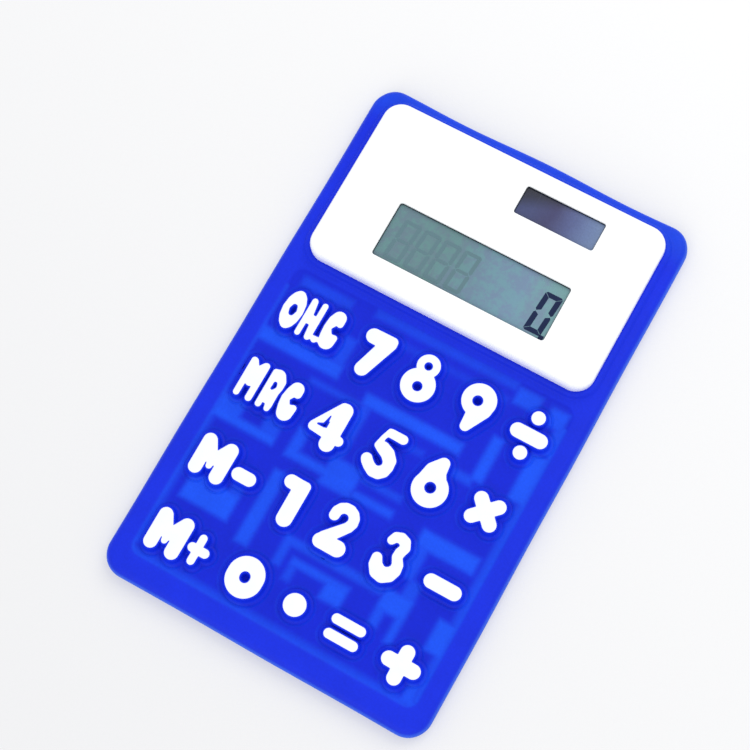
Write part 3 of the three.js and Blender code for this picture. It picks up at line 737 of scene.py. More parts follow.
# Lighter patches where printed tracks lie under the skin: low x, low y, high x, high y, strength
TRACKS = (
    (-31.3, -2.9, -13.0, 0.1, 0.9), (-15.7, -1.0, -13.1, 6.0, 0.6), (-17.6, -6.1, -6.5, -4.8, 0.5),
    (-6.2, -4.9, 15.6, -2.4, 0.95), (-6.0, -17.5, -3.9, -3.0, 0.6), (5.7, -8.8, 9.6, -7.4, 0.4),
    (15.7, -9.3, 20.5, -7.4, 0.7), (19.9, -7.8, 22.3, 2.0, 0.95), (28.0, -7.8, 31.5, 2.6, 1.0),
    (30.2, -50.5, 31.6, -6.0, 0.55), (-31.4, -20.8, -17.6, -19.0, 1.0), (-31.4, -20.0, -26.1, -15.8, 0.85),
    (-21.4, -20.0, -17.6, -15.8, 0.7), (-14.6, -20.9, -12.1, -14.8, 0.85), (-14.6, -21.2, 1.0, -19.3, 0.9),
    (-6.0, -22.8, 1.1, -16.6, 0.85), (1.2, -18.7, 10.2, -17.3, 0.6), (1.0, -22.4, 10.1, -20.7, 0.8),
    (16.8, -24.4, 29.3, -20.8, 0.95), (16.8, -31.0, 19.8, -23.0, 0.75), (19.2, -35.0, 22.0, -30.6, 0.7),
    (-28.6, -38.2, -17.8, -32.6, 1.0), (-20.4, -36.0, -17.8, -30.0, 0.7), (-14.6, -40.6, -11.7, -24.4, 0.9),
    (-6.0, -40.8, -4.2, -34.6, 0.7), (-6.0, -36.2, 16.0, -34.4, 0.7), (-2.7, -39.4, 10.0, -37.8, 0.85),
    (-2.7, -42.6, -1.0, -38.0, 0.6), (5.4, -42.4, 10.0, -38.6, 0.95), (16.1, -38.6, 22.1, -34.2, 1.0),
    (16.1, -42.0, 18.1, -37.0, 0.8), (20.5, -43.6, 22.1, -37.0, 0.9), (27.9, -41.2, 31.5, -34.6, 1.0),
    (28.6, -51.6, 31.0, -47.6, 0.8), (-31.6, -52.0, 30.0, -50.8, 0.45), (-31.6, -50.0, -30.4, -15.0, 0.4),
    # The first five rows below are lighter bands along the top edge of the panel.
    (-29.3, 10.8, -17.8, 12.9, 0.5), (-12.7, 12.0, 19.4, 13.9, 0.5), (19.8, 9.6, 25.0, 13.2, 0.85),
    (27.2, 8.6, 31.2, 12.6, 0.8), (29.6, 3.0, 31.6, 9.6, 0.7), (-9.0, 8.8, 19.0, 10.2, 0.25),
)
TRACK_BLUR = 0.75


def track_light(x, y):
    """How strongly a printed track shows, from 0 to 1."""
    light = np.zeros(np.shape(x))
    for low_x, low_y, high_x, high_y, strength in TRACKS:
        near = (x > low_x - 1) & (x < high_x + 1) & (y > low_y - 1) & (y < high_y + 1)
        px, py = x[near], y[near]
        edge = np.minimum.reduce([px - low_x, high_x - px, py - low_y, high_y - py])
        light[near] = np.maximum(light[near], strength * ease(-TRACK_BLUR, TRACK_BLUR, edge))
    return light


GLOSS = 0.012
LIGHTING = 1.17


def under_light(red, green, blue):
    """Base colour that looks like this screen colour once the scene's light and gloss are added."""
    return np.maximum(np.array(linear(red, green, blue)) - GLOSS, 0.001) / LIGHTING


RIM_BLUE = under_light(37, 57, 226)
TOP_RIM_BLUE = under_light(38, 75, 230)
DARK_BLUE = under_light(34, 50, 214)
LIGHT_BLUE = under_light(39, 90, 247)
PAINTED_BOSS_LIGHT = under_light(38, 64, 242)
EDGE_GLOW_BLUE = under_light(72, 128, 250)


def blend_colour(first, second, share):
    return first * (1 - share[:, None]) + second * share[:, None]


def silicone_colours(place):
    """Blue of the silicone: darker over the key panel than on the rim and lighter over the printed tracks,
    with painted light on each key boss that lifts the shade in its walls and counters, a painted highlight
    ring round each key, and a painted glow along the thin outer edge.
    """
    x, y, z = place.T
    rim = blend_colour(RIM_BLUE, TOP_RIM_BLUE, ease(48, 55, y))
    depth = np.where(z > MIDDLE, 1.0, 0.6)
    panel = blend_colour(DARK_BLUE, LIGHT_BLUE, depth * track_light(x, y))
    line = ease(0.7, 0, np.abs(PANEL.distance(x, y) + 0.2)) * (y < 10)
    colour = blend_colour(rim, panel, ease(-0.3, 0.3, -PANEL.distance(x, y)))
    colour = blend_colour(colour, LIGHT_BLUE, 0.5 * line)
    # Painted glow: lighter towards the outer edge, standing in for light scattered through the thin silicone
    # there.
    colour = blend_colour(colour, EDGE_GLOW_BLUE, 0.6 * ease(0.7, 0.05, -OUTLINE.distance(x, y)))
    around = key_distance(x, y)
    # Painted light on each key boss: a lighter blue within about a millimetre of the character, which lifts
    # the shade in the boss walls and counters.
    colour = blend_colour(colour, PAINTED_BOSS_LIGHT, 0.7 * ease(1.1, 0.5, around))
    # Painted highlight: a lighter ring about 1.5 mm out from each character, on the step of the web.
    return blend_colour(colour, LIGHT_BLUE, 0.22 * ease(0.4, 0, np.abs(around - 1.5)))


def wavy(piece):
    """Lets the soft outer edge wander a little, as cut rubber does."""
    mesh = piece.data
    place = vertex_places(mesh)
    x, y = place[:, 0].copy(), place[:, 1].copy()
    near_side = ease(30.5, 35.5, np.abs(x))
    near_end = ease(54.5, 57.2, np.abs(y))
    place[:, 0] += near_side * np.sign(x) * (0.06 + 0.05 * np.sin(y * 0.16 + 0.7 * np.sign(x)))
    swing = np.where(y > 0, 0.2, 0.04)
    place[:, 1] += near_end * np.sign(y) * (0.06 + swing * np.sin(x * 0.17 + 1.1))
    mesh.vertices.foreach_set("co", (place * MM).astype(np.float32).ravel())


key_holes = [key_ring(row, column, KEY_HOLE, 0.4) for row, column in KEYS]
web_loops = [key_ring(row, column, level, 0.45) for row, column in KEYS for level in WEB_OFFSET[1:]]
edge_loops = loops_of([OUTLINE], (-0.03, -0.12, -0.3, -0.6, -1.0, -1.4, -1.8, -2.3), 0.9)
lip_loops = loops_of([PLATE], LIP_OFFSET, 0.6)
panel_loops = loops_of([PANEL], (-0.35, -0.1, 0.15, 0.35), 0.6)
slot_loops = step_loops([SLOT], 0, 1.5)
back_region = (OUTLINE.loop(0, 0.9), [THROAT.loop(0, 0.8)])
skin_region = (back_region[0], [*back_region[1], *key_holes])
skin_loops = [*edge_loops, *lip_loops, *panel_loops, *web_loops]
whole_skin = solid("whole_skin", skin_region, (skin_loops, 0.62), (slot_loops, 2.6), skin_top, skin_inside)
back_loops = [*edge_loops, *loops_of([PLATE], PLATE_STEP, 0.8)]
whole_back = solid("whole_back", back_region, (slot_loops, 3), (back_loops, 0.9), back_inside, back_bottom)


def strip_between(whole, name, low_y, high_y):
    """The part of a mesh that lies between two heights of y, closed where it is cut."""
    shape = bmesh.new()
    shape.from_mesh(whole.data)
    for y, outward in ((high_y, 1), (low_y, -1)):
        if y is None:
            continue
        found = bmesh.ops.bisect_plane(
            shape, geom=[*shape.verts, *shape.edges, *shape.faces], dist=1e-7,
            plane_co=(0, y * MM, 0), plane_no=(0, outward, 0), clear_outer=True,
        )
        rim = [e for e in found["geom_cut"] if isinstance(e, bmesh.types.BMEdge) and e.is_boundary]
        bmesh.ops.triangle_fill(shape, edges=rim, use_dissolve=False, normal=(0, outward, 0))
    mesh = bpy.data.meshes.new(name)
    shade(shape, SHARP, mesh)
    return shown(name, mesh)


SOFT_BODIES = ("head", "row_1", "row_2", "row_3", "row_4")
CUTS = (None, *(row_y(row) for row in range(len(KEY_ROWS))), None)


def follow_fold(piece, index):
    """Strip number index keeps its place, its transform baked into its mesh; the last one rides on the last
    body.
    """
    if index == len(SOFT_BODIES) - 1:
        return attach(piece, SOFT_BODIES[-1])
    centre = row_y(index) + ROW_PITCH / 2
    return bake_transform(piece)


def skin_nodes(layer, index):
    """The CAD nodes that a strip of the skin or the back stands for."""
    nodes = [f"row_{row}_{layer}_skin" for row in (index, index + 1) if 1 <= row <= len(KEY_ROWS)]
    if index == 0:
        nodes.append("silicone_collar")
    if index < len(KEY_ROWS):
        nodes.append(f"fold_web_{index + 1}")
    return nodes


def lay_strips(whole, name, colours_at, material, nodes, wanders=True):
    """Cuts a soft sheet into strips at the rows of keys. Each strip has its own nodes."""
    for index, replaced in enumerate(nodes):
        piece = strip_between(whole, f"{name}_{index}", CUTS[index + 1], CUTS[index])
        set_tone(piece.data, colours_at(vertex_places(piece.data)))
        if wanders:
            wavy(piece)
        piece.data.materials.append(material)
        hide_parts(*replaced)
        follow_fold(piece, index)
    bpy.data.objects.remove(whole)


for whole, layer in ((whole_skin, "top"), (whole_back, "back")):
    nodes = [skin_nodes(layer, index) for index in range(len(SOFT_BODIES))]
    lay_strips(whole, f"silicone_{layer}", silicone_colours, SILICONE, nodes)


# ---- Keys: a raised boss in the shape of its character, on a thin web ----
BOSS_OFFSET = (-1.5, -0.5, 0, 0.05, 0.17, 0.27, 0.33, 0.36, 0.41, 0.48, 0.62, 0.85, 1.2)
BOSS_HEIGHT = (5.72, 5.66, 5.6, 5.585, 5.53, 5.42, 5.25, 5.0, 4.6, 4.25, 3.95, 3.78, 3.7)
BOSS_LEVELS = (-0.45, 0, 0.17, 0.27, 0.33, 0.37, 0.43, 0.5, 0.65, 0.88)
WEB_HEIGHT = 3.7
WEB_INSIDE = 3.2
NUB_RADIUS = 1.5
NUB_BOTTOM = 2.6
INK_BOTTOM = 5.5


def key_piece(row, column):
    character = KEY_ROWS[row][column]
    centre_x, centre_y = COLUMN_X[column], row_y(row)
    nub = disc(centre_x, centre_y, NUB_RADIUS)

    def outside(x, y):
        return print_distance(character, x - centre_x, y - centre_y)

    def top(x, y):
        outline = outside(x, y)
        return np.where(outline > KEY_HOLE - 0.02, WEB_HEIGHT, np.interp(outline, BOSS_OFFSET, BOSS_HEIGHT))

    def bottom(x, y):
        inner = np.where(nub.distance(x, y) < 0, NUB_BOTTOM, WEB_INSIDE)
        return np.where(outside(x, y) > KEY_HOLE - 0.02, WEB_HEIGHT, inner)

    region = (key_ring(row, column, KEY_HOLE, 0.4), [])
    above = [loop for level in BOSS_LEVELS for loop in key_loops(row, column, level, 0.26)]
    below = [key_ring(row, column, 0.85, 0.5), *step_loops([nub], 0, 0.4)]
    piece = solid("keycap_" + character, region, (above, 0.5), (below, 1.2), top, bottom)
    mesh = piece.data
    set_tone(mesh, silicone_colours(vertex_places(mesh)))
    mesh.materials.append(SILICONE)
    mesh.materials.append(KEY_INK)
    centres = np.zeros(len(mesh.polygons) * 3, np.float32)
    mesh.polygons.foreach_get("center", centres)
    x, y, z = centres.reshape(-1, 3).T / MM
    inked = (outside(x, y) < 0) & (z > INK_BOTTOM)
    mesh.polygons.foreach_set("material_index", inked.astype(np.int32))
    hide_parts("key_" + character)
    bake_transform(piece)


for row, column in KEYS:
    key_piece(row, column)


# ---- Display head ----
LCD_WINDOW = Box(0.25, 28.55, 38.7, 12.3, 0.6)
SOLAR_WINDOW = Box(10.55, 46.7, 17.7, 6.4, 0.5)
WINDOWS = (LCD_WINDOW, SOLAR_WINDOW)
POSTS = [disc(x, y, 2.2) for x in (-26.4, 26.4) for y in (22.6, 48.5)]
CROWN_TOP = node_box("display_bezel")[1][2]
CROWN_DROP = 2.0
CROWN_INSET = 2.4
CROWN_POWER = 2.6
CROWN_STEPS = (0.03, 0.1, 0.22, 0.4, 0.65, 1.0, 1.4, 1.9, 2.4, 3.0, 3.6)
WINDOW_OFFSET = (0.0, 0.05, 0.13, 0.28)
WINDOW_RISE = (-0.28, -0.12, -0.035, 0)
SKIRT_BOTTOM = 3.4
CEILING = 6.6
WALL = 1.4
GLASS_TOP = 6.3
LENS_TOP = 7.15
LENS_MARGIN = 0.85
LIP_BOTTOM = 7.5
LIP_WIDTH = 0.9
POST_BOTTOM = 2.3
POST_WALL = 1.1
SCREW_HOLE_END = 6.4


def bezel_top(x, y):
    inset = np.clip(-PLATE.distance(x, y), 0, CROWN_INSET) / CROWN_INSET
    crown = CROWN_TOP - CROWN_DROP * (1 - np.sqrt(1 - (1 - inset) ** CROWN_POWER))
    return crown + np.interp(nearest_of(WINDOWS, x, y), WINDOW_OFFSET, WINDOW_RISE)


def bezel_bottom(x, y):
    height = np.where(-PLATE.distance(x, y) < WALL, SKIRT_BOTTOM, CEILING)
    height = np.where(nearest_of(WINDOWS, x, y) < LIP_WIDTH, LIP_BOTTOM, height)
    height = np.where(nearest_of(POSTS, x, y) < 0, POST_BOTTOM, height)
    return np.where(nearest_of(POSTS, x, y) < -POST_WALL, SCREW_HOLE_END, height)


bezel_region = (PLATE.loop(0, 0.5), loops_of(WINDOWS, [0], 0.4))
above = loops_of([PLATE], [-inset for inset in CROWN_STEPS], 0.7) + loops_of(WINDOWS, WINDOW_OFFSET[1:], 0.4)
below = step_loops([PLATE], -WALL, 0.8) + step_loops(WINDOWS, LIP_WIDTH, 0.8)
for post in POSTS:
    below += step_loops([post], 0, 0.5) + step_loops([post], -POST_WALL, 0.4)
bezel = solid("bezel", bezel_region, (above, 1.6), (below, 2.5), bezel_top, bezel_bottom)
stands_for(bezel, WHITE_PLASTIC, "white_plastic", "head", "display_bezel")

# Painted shade: a dark ring just inside each window's edge, standing in for the shade on the window's inner
# walls.
shade_ring_finish = Finish("window_shade_paint", Roughness=0.85, Specular_IOR_Level=0.2)
ring_mottle = shade_ring_finish.noise(1.6, 4, 0.7)
DARK_WINDOW_RING = shade_ring_finish.done(shade_ring_finish.ramp(ring_mottle, (0.3, linear(18, 26, 32)), (0.7, linear(38, 48, 54))), None, (ring_mottle, 0.05))


def flat(height):
    return lambda x, y: np.full(np.shape(x), float(height))


def rimmed(shape, height, inward, depth, width):
    """Flat height with a rounded rim, which turns down from a top (inward -1) or up from a bottom (+1)."""
    def surface(x, y):
        inset = np.clip(-shape.distance(x, y), 0, width) / width
        return height + inward * depth * (1 - np.sqrt(1 - (1 - inset) ** 2))
    return surface


def rim_loops(shape, width, spacing=0.5):
    return loops_of([shape], [-width * share for share in (0.08, 0.3, 0.6, 1.0)], spacing)


# Each window gets its dark painted-shade ring, under the bezel's lip.
for window, name in ((LCD_WINDOW, "lcd_shade_ring"), (SOLAR_WINDOW, "solar_shade_ring")):
    region = (window.loop(0.8, 0.6), [window.loop(-0.09, 0.4)])
    dark_ring = solid(name, region, ([], 1.5), ([], 1.5), flat(LIP_BOTTOM - 0.02), flat(LENS_TOP + 0.01))
    dark_ring.data.materials.append(DARK_WINDOW_RING)
    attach(dark_ring, "head")


def display_glass():
    """Grey-green polarizer over glass, with a painted reflection that lightens it from left to right, and
    faint mottling.
    """
    made = Finish("display_glass", Specular_IOR_Level=0.35, Coat_Weight=0.25, Coat_Roughness=0.06)
    across = made.share_along("X", -20, 40)
    mottle = made.noise(0.09, 3, 0.5)
    # Painted reflection: the colour lightens from left to right.
    drift = made.math("MULTIPLY_ADD", mottle, 0.25, made.math("ADD", across, -0.12), clamp=True)
    colour = made.ramp(
        drift, (0.0, linear(91, 124, 130)), (0.35, linear(90, 124, 128)), (0.55, linear(98, 131, 146)),
        (0.8, linear(104, 137, 156)), (1.0, linear(105, 140, 146)),
    )
    speckle = made.noise(0.5, 5, 0.7)
    tint = made.ramp(speckle, (0.42, (1.1, 0.72, 1.0)), (0.58, (0.96, 1.2, 1.05)))
    colour = made.mix(0.4, colour, tint, "MULTIPLY")
    return made.done(colour, (speckle, 0.18, 0.3), (made.noise(0.2, 2), 0.004, 0.4))


def solar_glass():
    """Dark purple-grey silicon film behind glass, lighter towards the right, divided into cells by fine
    lines, with painted shade and reflection that darken its top-left corner.
    """
    made = Finish("solar_glass", Specular_IOR_Level=0.4, Coat_Weight=0.4, Coat_Roughness=0.05)
    across = made.share_along("X", 1.55, 17.7)
    down = made.share_along("Y", 49.9, -6.4)
    cloud = made.noise(0.12, 2)
    drift = made.math("MULTIPLY_ADD", cloud, 0.2, made.math("ADD", across, -0.1), clamp=True)
    colour = made.ramp(
        drift, (0.0, linear(52, 62, 106)), (0.2, linear(52, 60, 104)), (0.42, linear(50, 50, 94)),
        (0.6, linear(72, 82, 128)), (0.8, linear(90, 108, 150)), (1.0, linear(100, 121, 158)),
    )
    # Painted shade and reflection: much darker towards the top-left corner.
    corner = made.math("MULTIPLY_ADD", down, 0.8, made.math("MULTIPLY", across, 0.9), clamp=True)
    colour = made.mix(1.0, colour, made.ramp(corner, (0.0, 0.1), (0.3, 0.27), (0.65, 1.0)), "MULTIPLY")
    grain = made.noise(2.4, 3, 0.7)
    colour = made.mix(0.25, colour, made.ramp(grain, (0.35, 0.7), (0.65, 1.25)), "MULTIPLY")
    cell = made.math("PINGPONG", made.math("ADD", made.along("X"), 0.6 * MM), 2.75 * MM)
    line = made.math("LESS_THAN", cell, 0.06 * MM)
    colour = made.mix(made.math("MULTIPLY", line, 0.15), colour, linear(70, 76, 104))
    return made.done(colour, (cloud, 0.12, 0.22), (line, 0.01, 0.3))


def segment_ink(name, colour, share):
    """Dark print of the display's segments."""
    second = darker(colour, share)
    return clouded(name, colour, second, (0.8, 3), (0.3, 0.5), (0.003, 0.4), Specular_IOR_Level=0.15)


def raised_in(window, height):
    """Adds the lens that stands up into a window, above the height of the glass round it."""
    return lambda x, y: np.where(window.distance(x, y) < LENS_MARGIN, LENS_TOP, height(x, y))


for name, node, slot, material, window in (
    ("lcd_panel", "lcd_glass", "lcd_glass", display_glass(), LCD_WINDOW),
    ("solar_panel", "solar_cell", "solar_glass", solar_glass(), SOLAR_WINDOW),
):
    shape = outline_of(node, 0.3)
    region = (shape.loop(0, 0.8), [])
    above = rim_loops(shape, 0.2, 0.8) + step_loops([window], LENS_MARGIN, 0.6)
    below = rim_loops(shape, 0.1, 0.8)
    top = raised_in(window, rimmed(shape, GLASS_TOP, -1, 0.15, 0.2))
    bottom = rimmed(shape, node_box(node)[0][2], 1, 0.08, 0.1)
    panel = solid(name, region, (above, 2), (below, 3), top, bottom)
    stands_for(panel, material, slot, "head", node)

# Seven-segment digits: each segment is a bar with pointed ends, leaning a little to the right
DIGIT_X = 16.95
DIGIT_Y = 27.62
DIGIT_PITCH = 4.55
DIGIT_WIDTH = 3.8
DIGIT_LENGTH = 9.05
DIGIT_LEAN = math.tan(math.radians(4))
DIGIT_BAR = 1.12
GHOST_BAR = 0.8
SEGMENT_GAP = 0.1
INK_HALF = 0.02
POINT_X = 18.8
POINT_Y = 23.0
POINT_HALF = 0.5


def segment_bars(bar):
    """Outlines of the seven bars around the digit's centre, by their usual letters."""
    half_x, half_y, gap = DIGIT_WIDTH / 2, DIGIT_LENGTH / 2, SEGMENT_GAP
    tip, shoulder, mid = half_x - 0.5, half_x - bar, 0.38 * bar
    flat_bar = [(-tip, 0), (-shoulder, mid), (shoulder, mid), (tip, 0), (shoulder, -mid), (-shoulder, -mid)]
    edge_x = half_x - gap
    end_half = [(edge_x - 0.28, half_y), (edge_x, half_y - 0.25), (half_x - bar, half_y - bar + gap)]
    end_bar = [(-end_half[0][0], half_y), *end_half, *((-x, y) for x, y in end_half[:0:-1])]
    side = [
        (half_x, half_y - 0.3), (half_x, gap + 0.35), (half_x - 0.3, gap),
        (half_x - bar, gap + 0.5), (half_x - bar, half_y - bar),
    ]

    def mirror(outline, sign_x, sign_y):
        return [(sign_x * x, sign_y * y) for x, y in outline]

    return {
        "a": end_bar, "b": side, "c": mirror(side, 1, -1), "d": mirror(end_bar, 1, -1),
        "e": mirror(side, -1, -1), "f": mirror(side, -1, 1), "g": flat_bar,
    }


def digit_outlines(digits, letters, bar):
    """Digits are numbered from the right."""
    bars = segment_bars(bar)
    return [
        [(DIGIT_X - DIGIT_PITCH * digit + x + DIGIT_LEAN * y, DIGIT_Y + y) for x, y in bars[letter]]
        for digit in digits
        for letter in letters
    ]


def stacked(name, stacks, sharp):
    """Mesh of closed shapes, each a stack of rings of points from the bottom to the top."""
    vertices, faces = [], []
    for stack in stacks:
        first, size = len(vertices), len(stack[0])
        for ring in stack:
            vertices += ring
        last = len(vertices) - size
        for low in range(first, last, size):
            for k in range(size):
                after = low + (k + 1) % size
                faces.append((low + k, after, after + size, low + k + size))
        faces += [range(last, last + size), range(first, first + size)[::-1]]
    mesh = bpy.data.meshes.new(name)
    mesh.from_pydata(vertices, [], faces)
    return finish_mesh(name, mesh, sharp)


def segments_piece(name, outlines, material):
    """Printed segments as thin raised plates on the display."""
    heights = (LENS_TOP - INK_HALF, LENS_TOP + INK_HALF)
    piece = stacked(name, [[[(x, y, z) for x, y in outline] for z in heights] for outline in outlines], 30)
    piece.data.materials.append(material)
    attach(piece, "head")


corners = ((-1, -1), (1, -1), (1.1, 1), (-1, 1))
point = [(POINT_X + POINT_HALF * x, POINT_Y + POINT_HALF * y) for x, y in corners]
zero = digit_outlines([0], "abcdef", DIGIT_BAR)
ghosts = digit_outlines(range(4, 8), "abcdefg", GHOST_BAR)
segments_piece("lcd_segments", [*zero, point], segment_ink("segment_ink", linear(20, 34, 72), 0.7))
segments_piece("lcd_ghost_segments", ghosts, segment_ink("ghost_ink", linear(92, 120, 128), 0.98))

# ---- Rear housing, battery door and screws ----
TRAY = Box(PLATE.x, PLATE.y, 60.4, 33.3, 2.6)
CELL = disc(-14.5, 44.6, 5.8)
DOOR = Box(-11.9, CELL.y, 19, 13.4, 1.4)
DOOR_SCREW = disc(-5.2, CELL.y, 1.5)
PEGS = [disc(x, y, 1.2) for x in (-20, 20) for y in (26, 34)]
BATTERY_BLOCK = Box(DOOR.x, 44.9, 21, 15, 0.3)
GRIPS = [Box(DOOR.x - 7.6 + 0.9 * k, DOOR.y, 0.45, 7, 0.2) for k in range(4)]
TRAY_FLOOR = 1.2
TRAY_RIM = 5.0
BLOCK_TOP = 2.0
POST_TOP = 2.2
PEG_TOP = 3.3
SCREW_BOSS_TOP = 3.4
SCREW_BORE = 1.2
CELL_BORE = 6.2
DOOR_SCREW_BORE = 1.0
DOOR_HOLE = 1.1
DOOR_INSIDE = 1.1
CELL_PAD_TOP = 1.3
CELL_PAD_INSET = 0.4
TAIL_HALF = 12.6
POST_SEAT = 0.7
SCREW_SEAT = 0.5
WELL_OFFSET = (-0.1, -0.06, 0.15)
DOOR_OFFSET = (0.25, 0.29, 0.45)
SCREW_OFFSET = (0.2, 0.24, 0.4)


def housing_top(x, y):
    tray = TRAY.distance(x, y)
    notch = (np.abs(x) < TAIL_HALF) & (y < TRAY.y)
    height = np.where((tray < 0) & (tray > -TRAY_FLOOR) & ~notch, TRAY_RIM, TRAY_FLOOR)
    height = np.where(BATTERY_BLOCK.distance(x, y) < 0, np.maximum(height, BLOCK_TOP), height)
    height = np.where(nearest_of(POSTS, x, y) < POST_SEAT, np.maximum(height, POST_TOP), height)
    height = np.where(nearest_of(PEGS, x, y) < 0, PEG_TOP, height)
    return np.where(DOOR_SCREW.distance(x, y) < SCREW_SEAT, SCREW_BOSS_TOP, height)


def housing_bottom(x, y):
    wells = np.interp(nearest_of(POSTS, x, y), WELL_OFFSET, (1.3, 0.2, 0))
    door = np.interp(DOOR.distance(x, y), DOOR_OFFSET, (1.2, 0.12, 0))
    return rimmed(PLATE, 0, 1, 0.45, 0.5)(x, y) + wells + door


bores = [disc(post.x, post.y, SCREW_BORE) for post in POSTS]
bores += [disc(CELL.x, CELL.y, CELL_BORE), disc(DOOR_SCREW.x, CELL.y, DOOR_SCREW_BORE)]
housing_region = (PLATE.loop(0, 0.6), loops_of(bores, [0], 0.4))
above = step_loops([TRAY, BATTERY_BLOCK], 0, 0.9) + step_loops([TRAY], -TRAY_FLOOR, 0.9)
above += step_loops(POSTS, POST_SEAT) + step_loops(PEGS, 0) + step_loops([DOOR_SCREW], SCREW_SEAT)
below = rim_loops(PLATE, 0.5, 0.7) + loops_of(POSTS, (-0.1, -0.06, 0.04, 0.15), 0.35)
below += loops_of([DOOR], (0.25, 0.29, 0.37, 0.45), 0.5)
housing = solid("rear_shell", housing_region, (above, 2.2), (below, 1.8), housing_top, housing_bottom)
stands_for(housing, WHITE_PLASTIC, "white_plastic", "head", "rear_housing")


def door_bottom(x, y):
    grips = np.interp(nearest_of(GRIPS, x, y), (-0.15, 0.1), (0.22, 0))
    seat = np.interp(DOOR_SCREW.distance(x, y), SCREW_OFFSET, (0.7, 0.1, 0))
    return rimmed(DOOR, 0, 1, 0.25, 0.35)(x, y) + grips + seat


def door_top(x, y):
    return np.where(CELL.distance(x, y) < -CELL_PAD_INSET, CELL_PAD_TOP, DOOR_INSIDE)


door_region = (DOOR.loop(0, 0.5), [disc(DOOR_SCREW.x, DOOR.y, DOOR_HOLE).loop(0, 0.3)])
below = rim_loops(DOOR, 0.35) + loops_of([DOOR_SCREW], (0.2, 0.24, 0.3, 0.4), 0.3)
below += loops_of(GRIPS, (-0.15, 0.0, 0.1), 0.3)
above = step_loops([CELL], -CELL_PAD_INSET)
door = solid("battery_cover", door_region, (above, 1.5), (below, 0.9), door_top, door_bottom)
stands_for(door, WHITE_PLASTIC, "white_plastic", "battery_door", "battery_door")


def brushed(name, colour, stretch=(0.4, 6, 6), rough=(0.22, 0.42)):
    """Metal with fine directional scratches and a few dull patches."""
    made = Finish(name, Metallic=1.0)
    lines = made.noise(1.0, 3, 0.6, made.stretched(stretch))
    patch = made.noise(0.25, 3)
    tint = made.mix(made.math("MULTIPLY", lines, patch), colour, darker(colour, 0.72))
    return made.done(tint, (lines, *rough), (lines, 0.004, 0.5))


STEEL = brushed("screw_steel", linear(196, 198, 202))
CELL_STEEL = brushed("cell_steel", linear(208, 208, 206), (0.2, 8, 8), (0.16, 0.34))
SPRING_STEEL = brushed("spring_steel", linear(206, 196, 170))

CROSS_OFFSET = (-0.08, 0.02)
CASE_SCREW_HEAD = 1.05
DOOR_SCREW_HEAD = 0.6


def screw_piece(name, node, body, head_height):
    """Pan-head screw, head down, with a cross recess and a pointed shank."""
    low, high = node_box(node)
    radius = (high[0] - low[0]) / 2
    head = outline_of(node, radius)
    shank = disc(head.x, head.y, radius / 2)
    cross = [Box(head.x, head.y, *size, 0.1) for size in ((1.24 * radius, 0.44), (0.44, 1.24 * radius))]
    head_top = low[2] + head_height

    def bottom(x, y):
        recess = np.interp(nearest_of(cross, x, y), CROSS_OFFSET, (0.4, 0))
        return rimmed(head, low[2], 1, 0.3, 0.9)(x, y) + recess

    def top(x, y):
        inset = -shank.distance(x, y)
        return np.where(inset < 0, head_top, high[2] - np.interp(inset, (0, shank.corner), (0.5, 0)))

    region = (head.loop(0, 0.25), [])
    above = step_loops([shank], 0, 0.25)
    below = loops_of([head], (-0.05, -0.2, -0.45, -0.9), 0.25) + loops_of(cross, CROSS_OFFSET, 0.2)
    piece = solid(name, region, (above, 0.5), (below, 0.3), top, bottom, 40)
    stands_for(piece, STEEL, "screw_steel", body, node)


for number in range(1, 5):
    screw_piece(f"case_screw_{number}", f"housing_screw_{number}", "head", CASE_SCREW_HEAD)
screw_piece("door_screw", "battery_door_screw", "battery_door_screw", DOOR_SCREW_HEAD)


def turned(name, node, profile, steps, sharp):
    """A round piece on a CAD node's axis: profile gives radius and height, from the bottom to the top."""
    centre = outline_of(node, 0)
    angles = [2 * math.pi * k / steps for k in range(steps)]
    rings = [[(*reach_from((centre.x, centre.y), radius, a), z) for a in angles] for radius, z in profile]
    return stacked(name, [rings], sharp)


cell_low, cell_high = node_box("button_cell")
CAN_INSETS = ((1.2, 0.06), (0.5, 0), (0.25, 0.04), (0.05, 0.22), (0, 0.4))
CAP_INSETS = (
    (0, 0.75), (0.06, 0.5), (0.25, 0.38), (0.8, 0.36), (0.95, 0.5), (1.1, 0.36), (1.2, 0.12), (1.4, 0),
)
cell_profile = [(CELL.corner - inset, cell_low[2] + rise) for inset, rise in CAN_INSETS]
cell_profile += [(CELL.corner - inset, cell_high[2] - drop) for inset, drop in CAP_INSETS]
coin_cell = turned("coin_cell", "button_cell", cell_profile, 64, 35)
stands_for(coin_cell, CELL_STEEL, "cell_steel", "button_cell", "button_cell")

BLOB_DOME = ((0.4, 0), (1.2, 0.05), (2.0, 0.16), (2.8, 0.33), (3.5, 0.58), (4.0, 0.85), (4.2, 1.03))
blob_bottom = node_box("chip_blob")[0][2]
blob_profile = [(radius, blob_bottom + rise) for radius, rise in BLOB_DOME]
blob = turned("epoxy_blob", "chip_blob", blob_profile, 40, 60)
epoxy = clouded(
    "black_epoxy", linear(16, 17, 19), linear(34, 35, 38), (0.4, 3), (0.12, 0.3), (0.05, 0.5),
    Specular_IOR_Level=0.5,
)
stands_for(blob, epoxy, "black_epoxy", "head", "chip_blob")

# ---- Membrane circuit: clear film with printed silver tracks and a carbon pad under each key ----
(left, front, film_bottom), (right, back, film_top) = node_box("membrane_circuit")
TAIL_EDGE = 12.0
TAIL_ROOT = 14.2
corners = [
    (left, front), (right, front), (right, TAIL_ROOT), (TAIL_EDGE, TAIL_ROOT),
    (TAIL_EDGE, back), (-TAIL_EDGE, back), (-TAIL_EDGE, TAIL_ROOT), (left, TAIL_ROOT),
]
PAD_RADIUS = 2.4
PAD_RISE = 0.05
PADS = [disc(COLUMN_X[column], row_y(row), PAD_RADIUS) for row, column in KEYS]


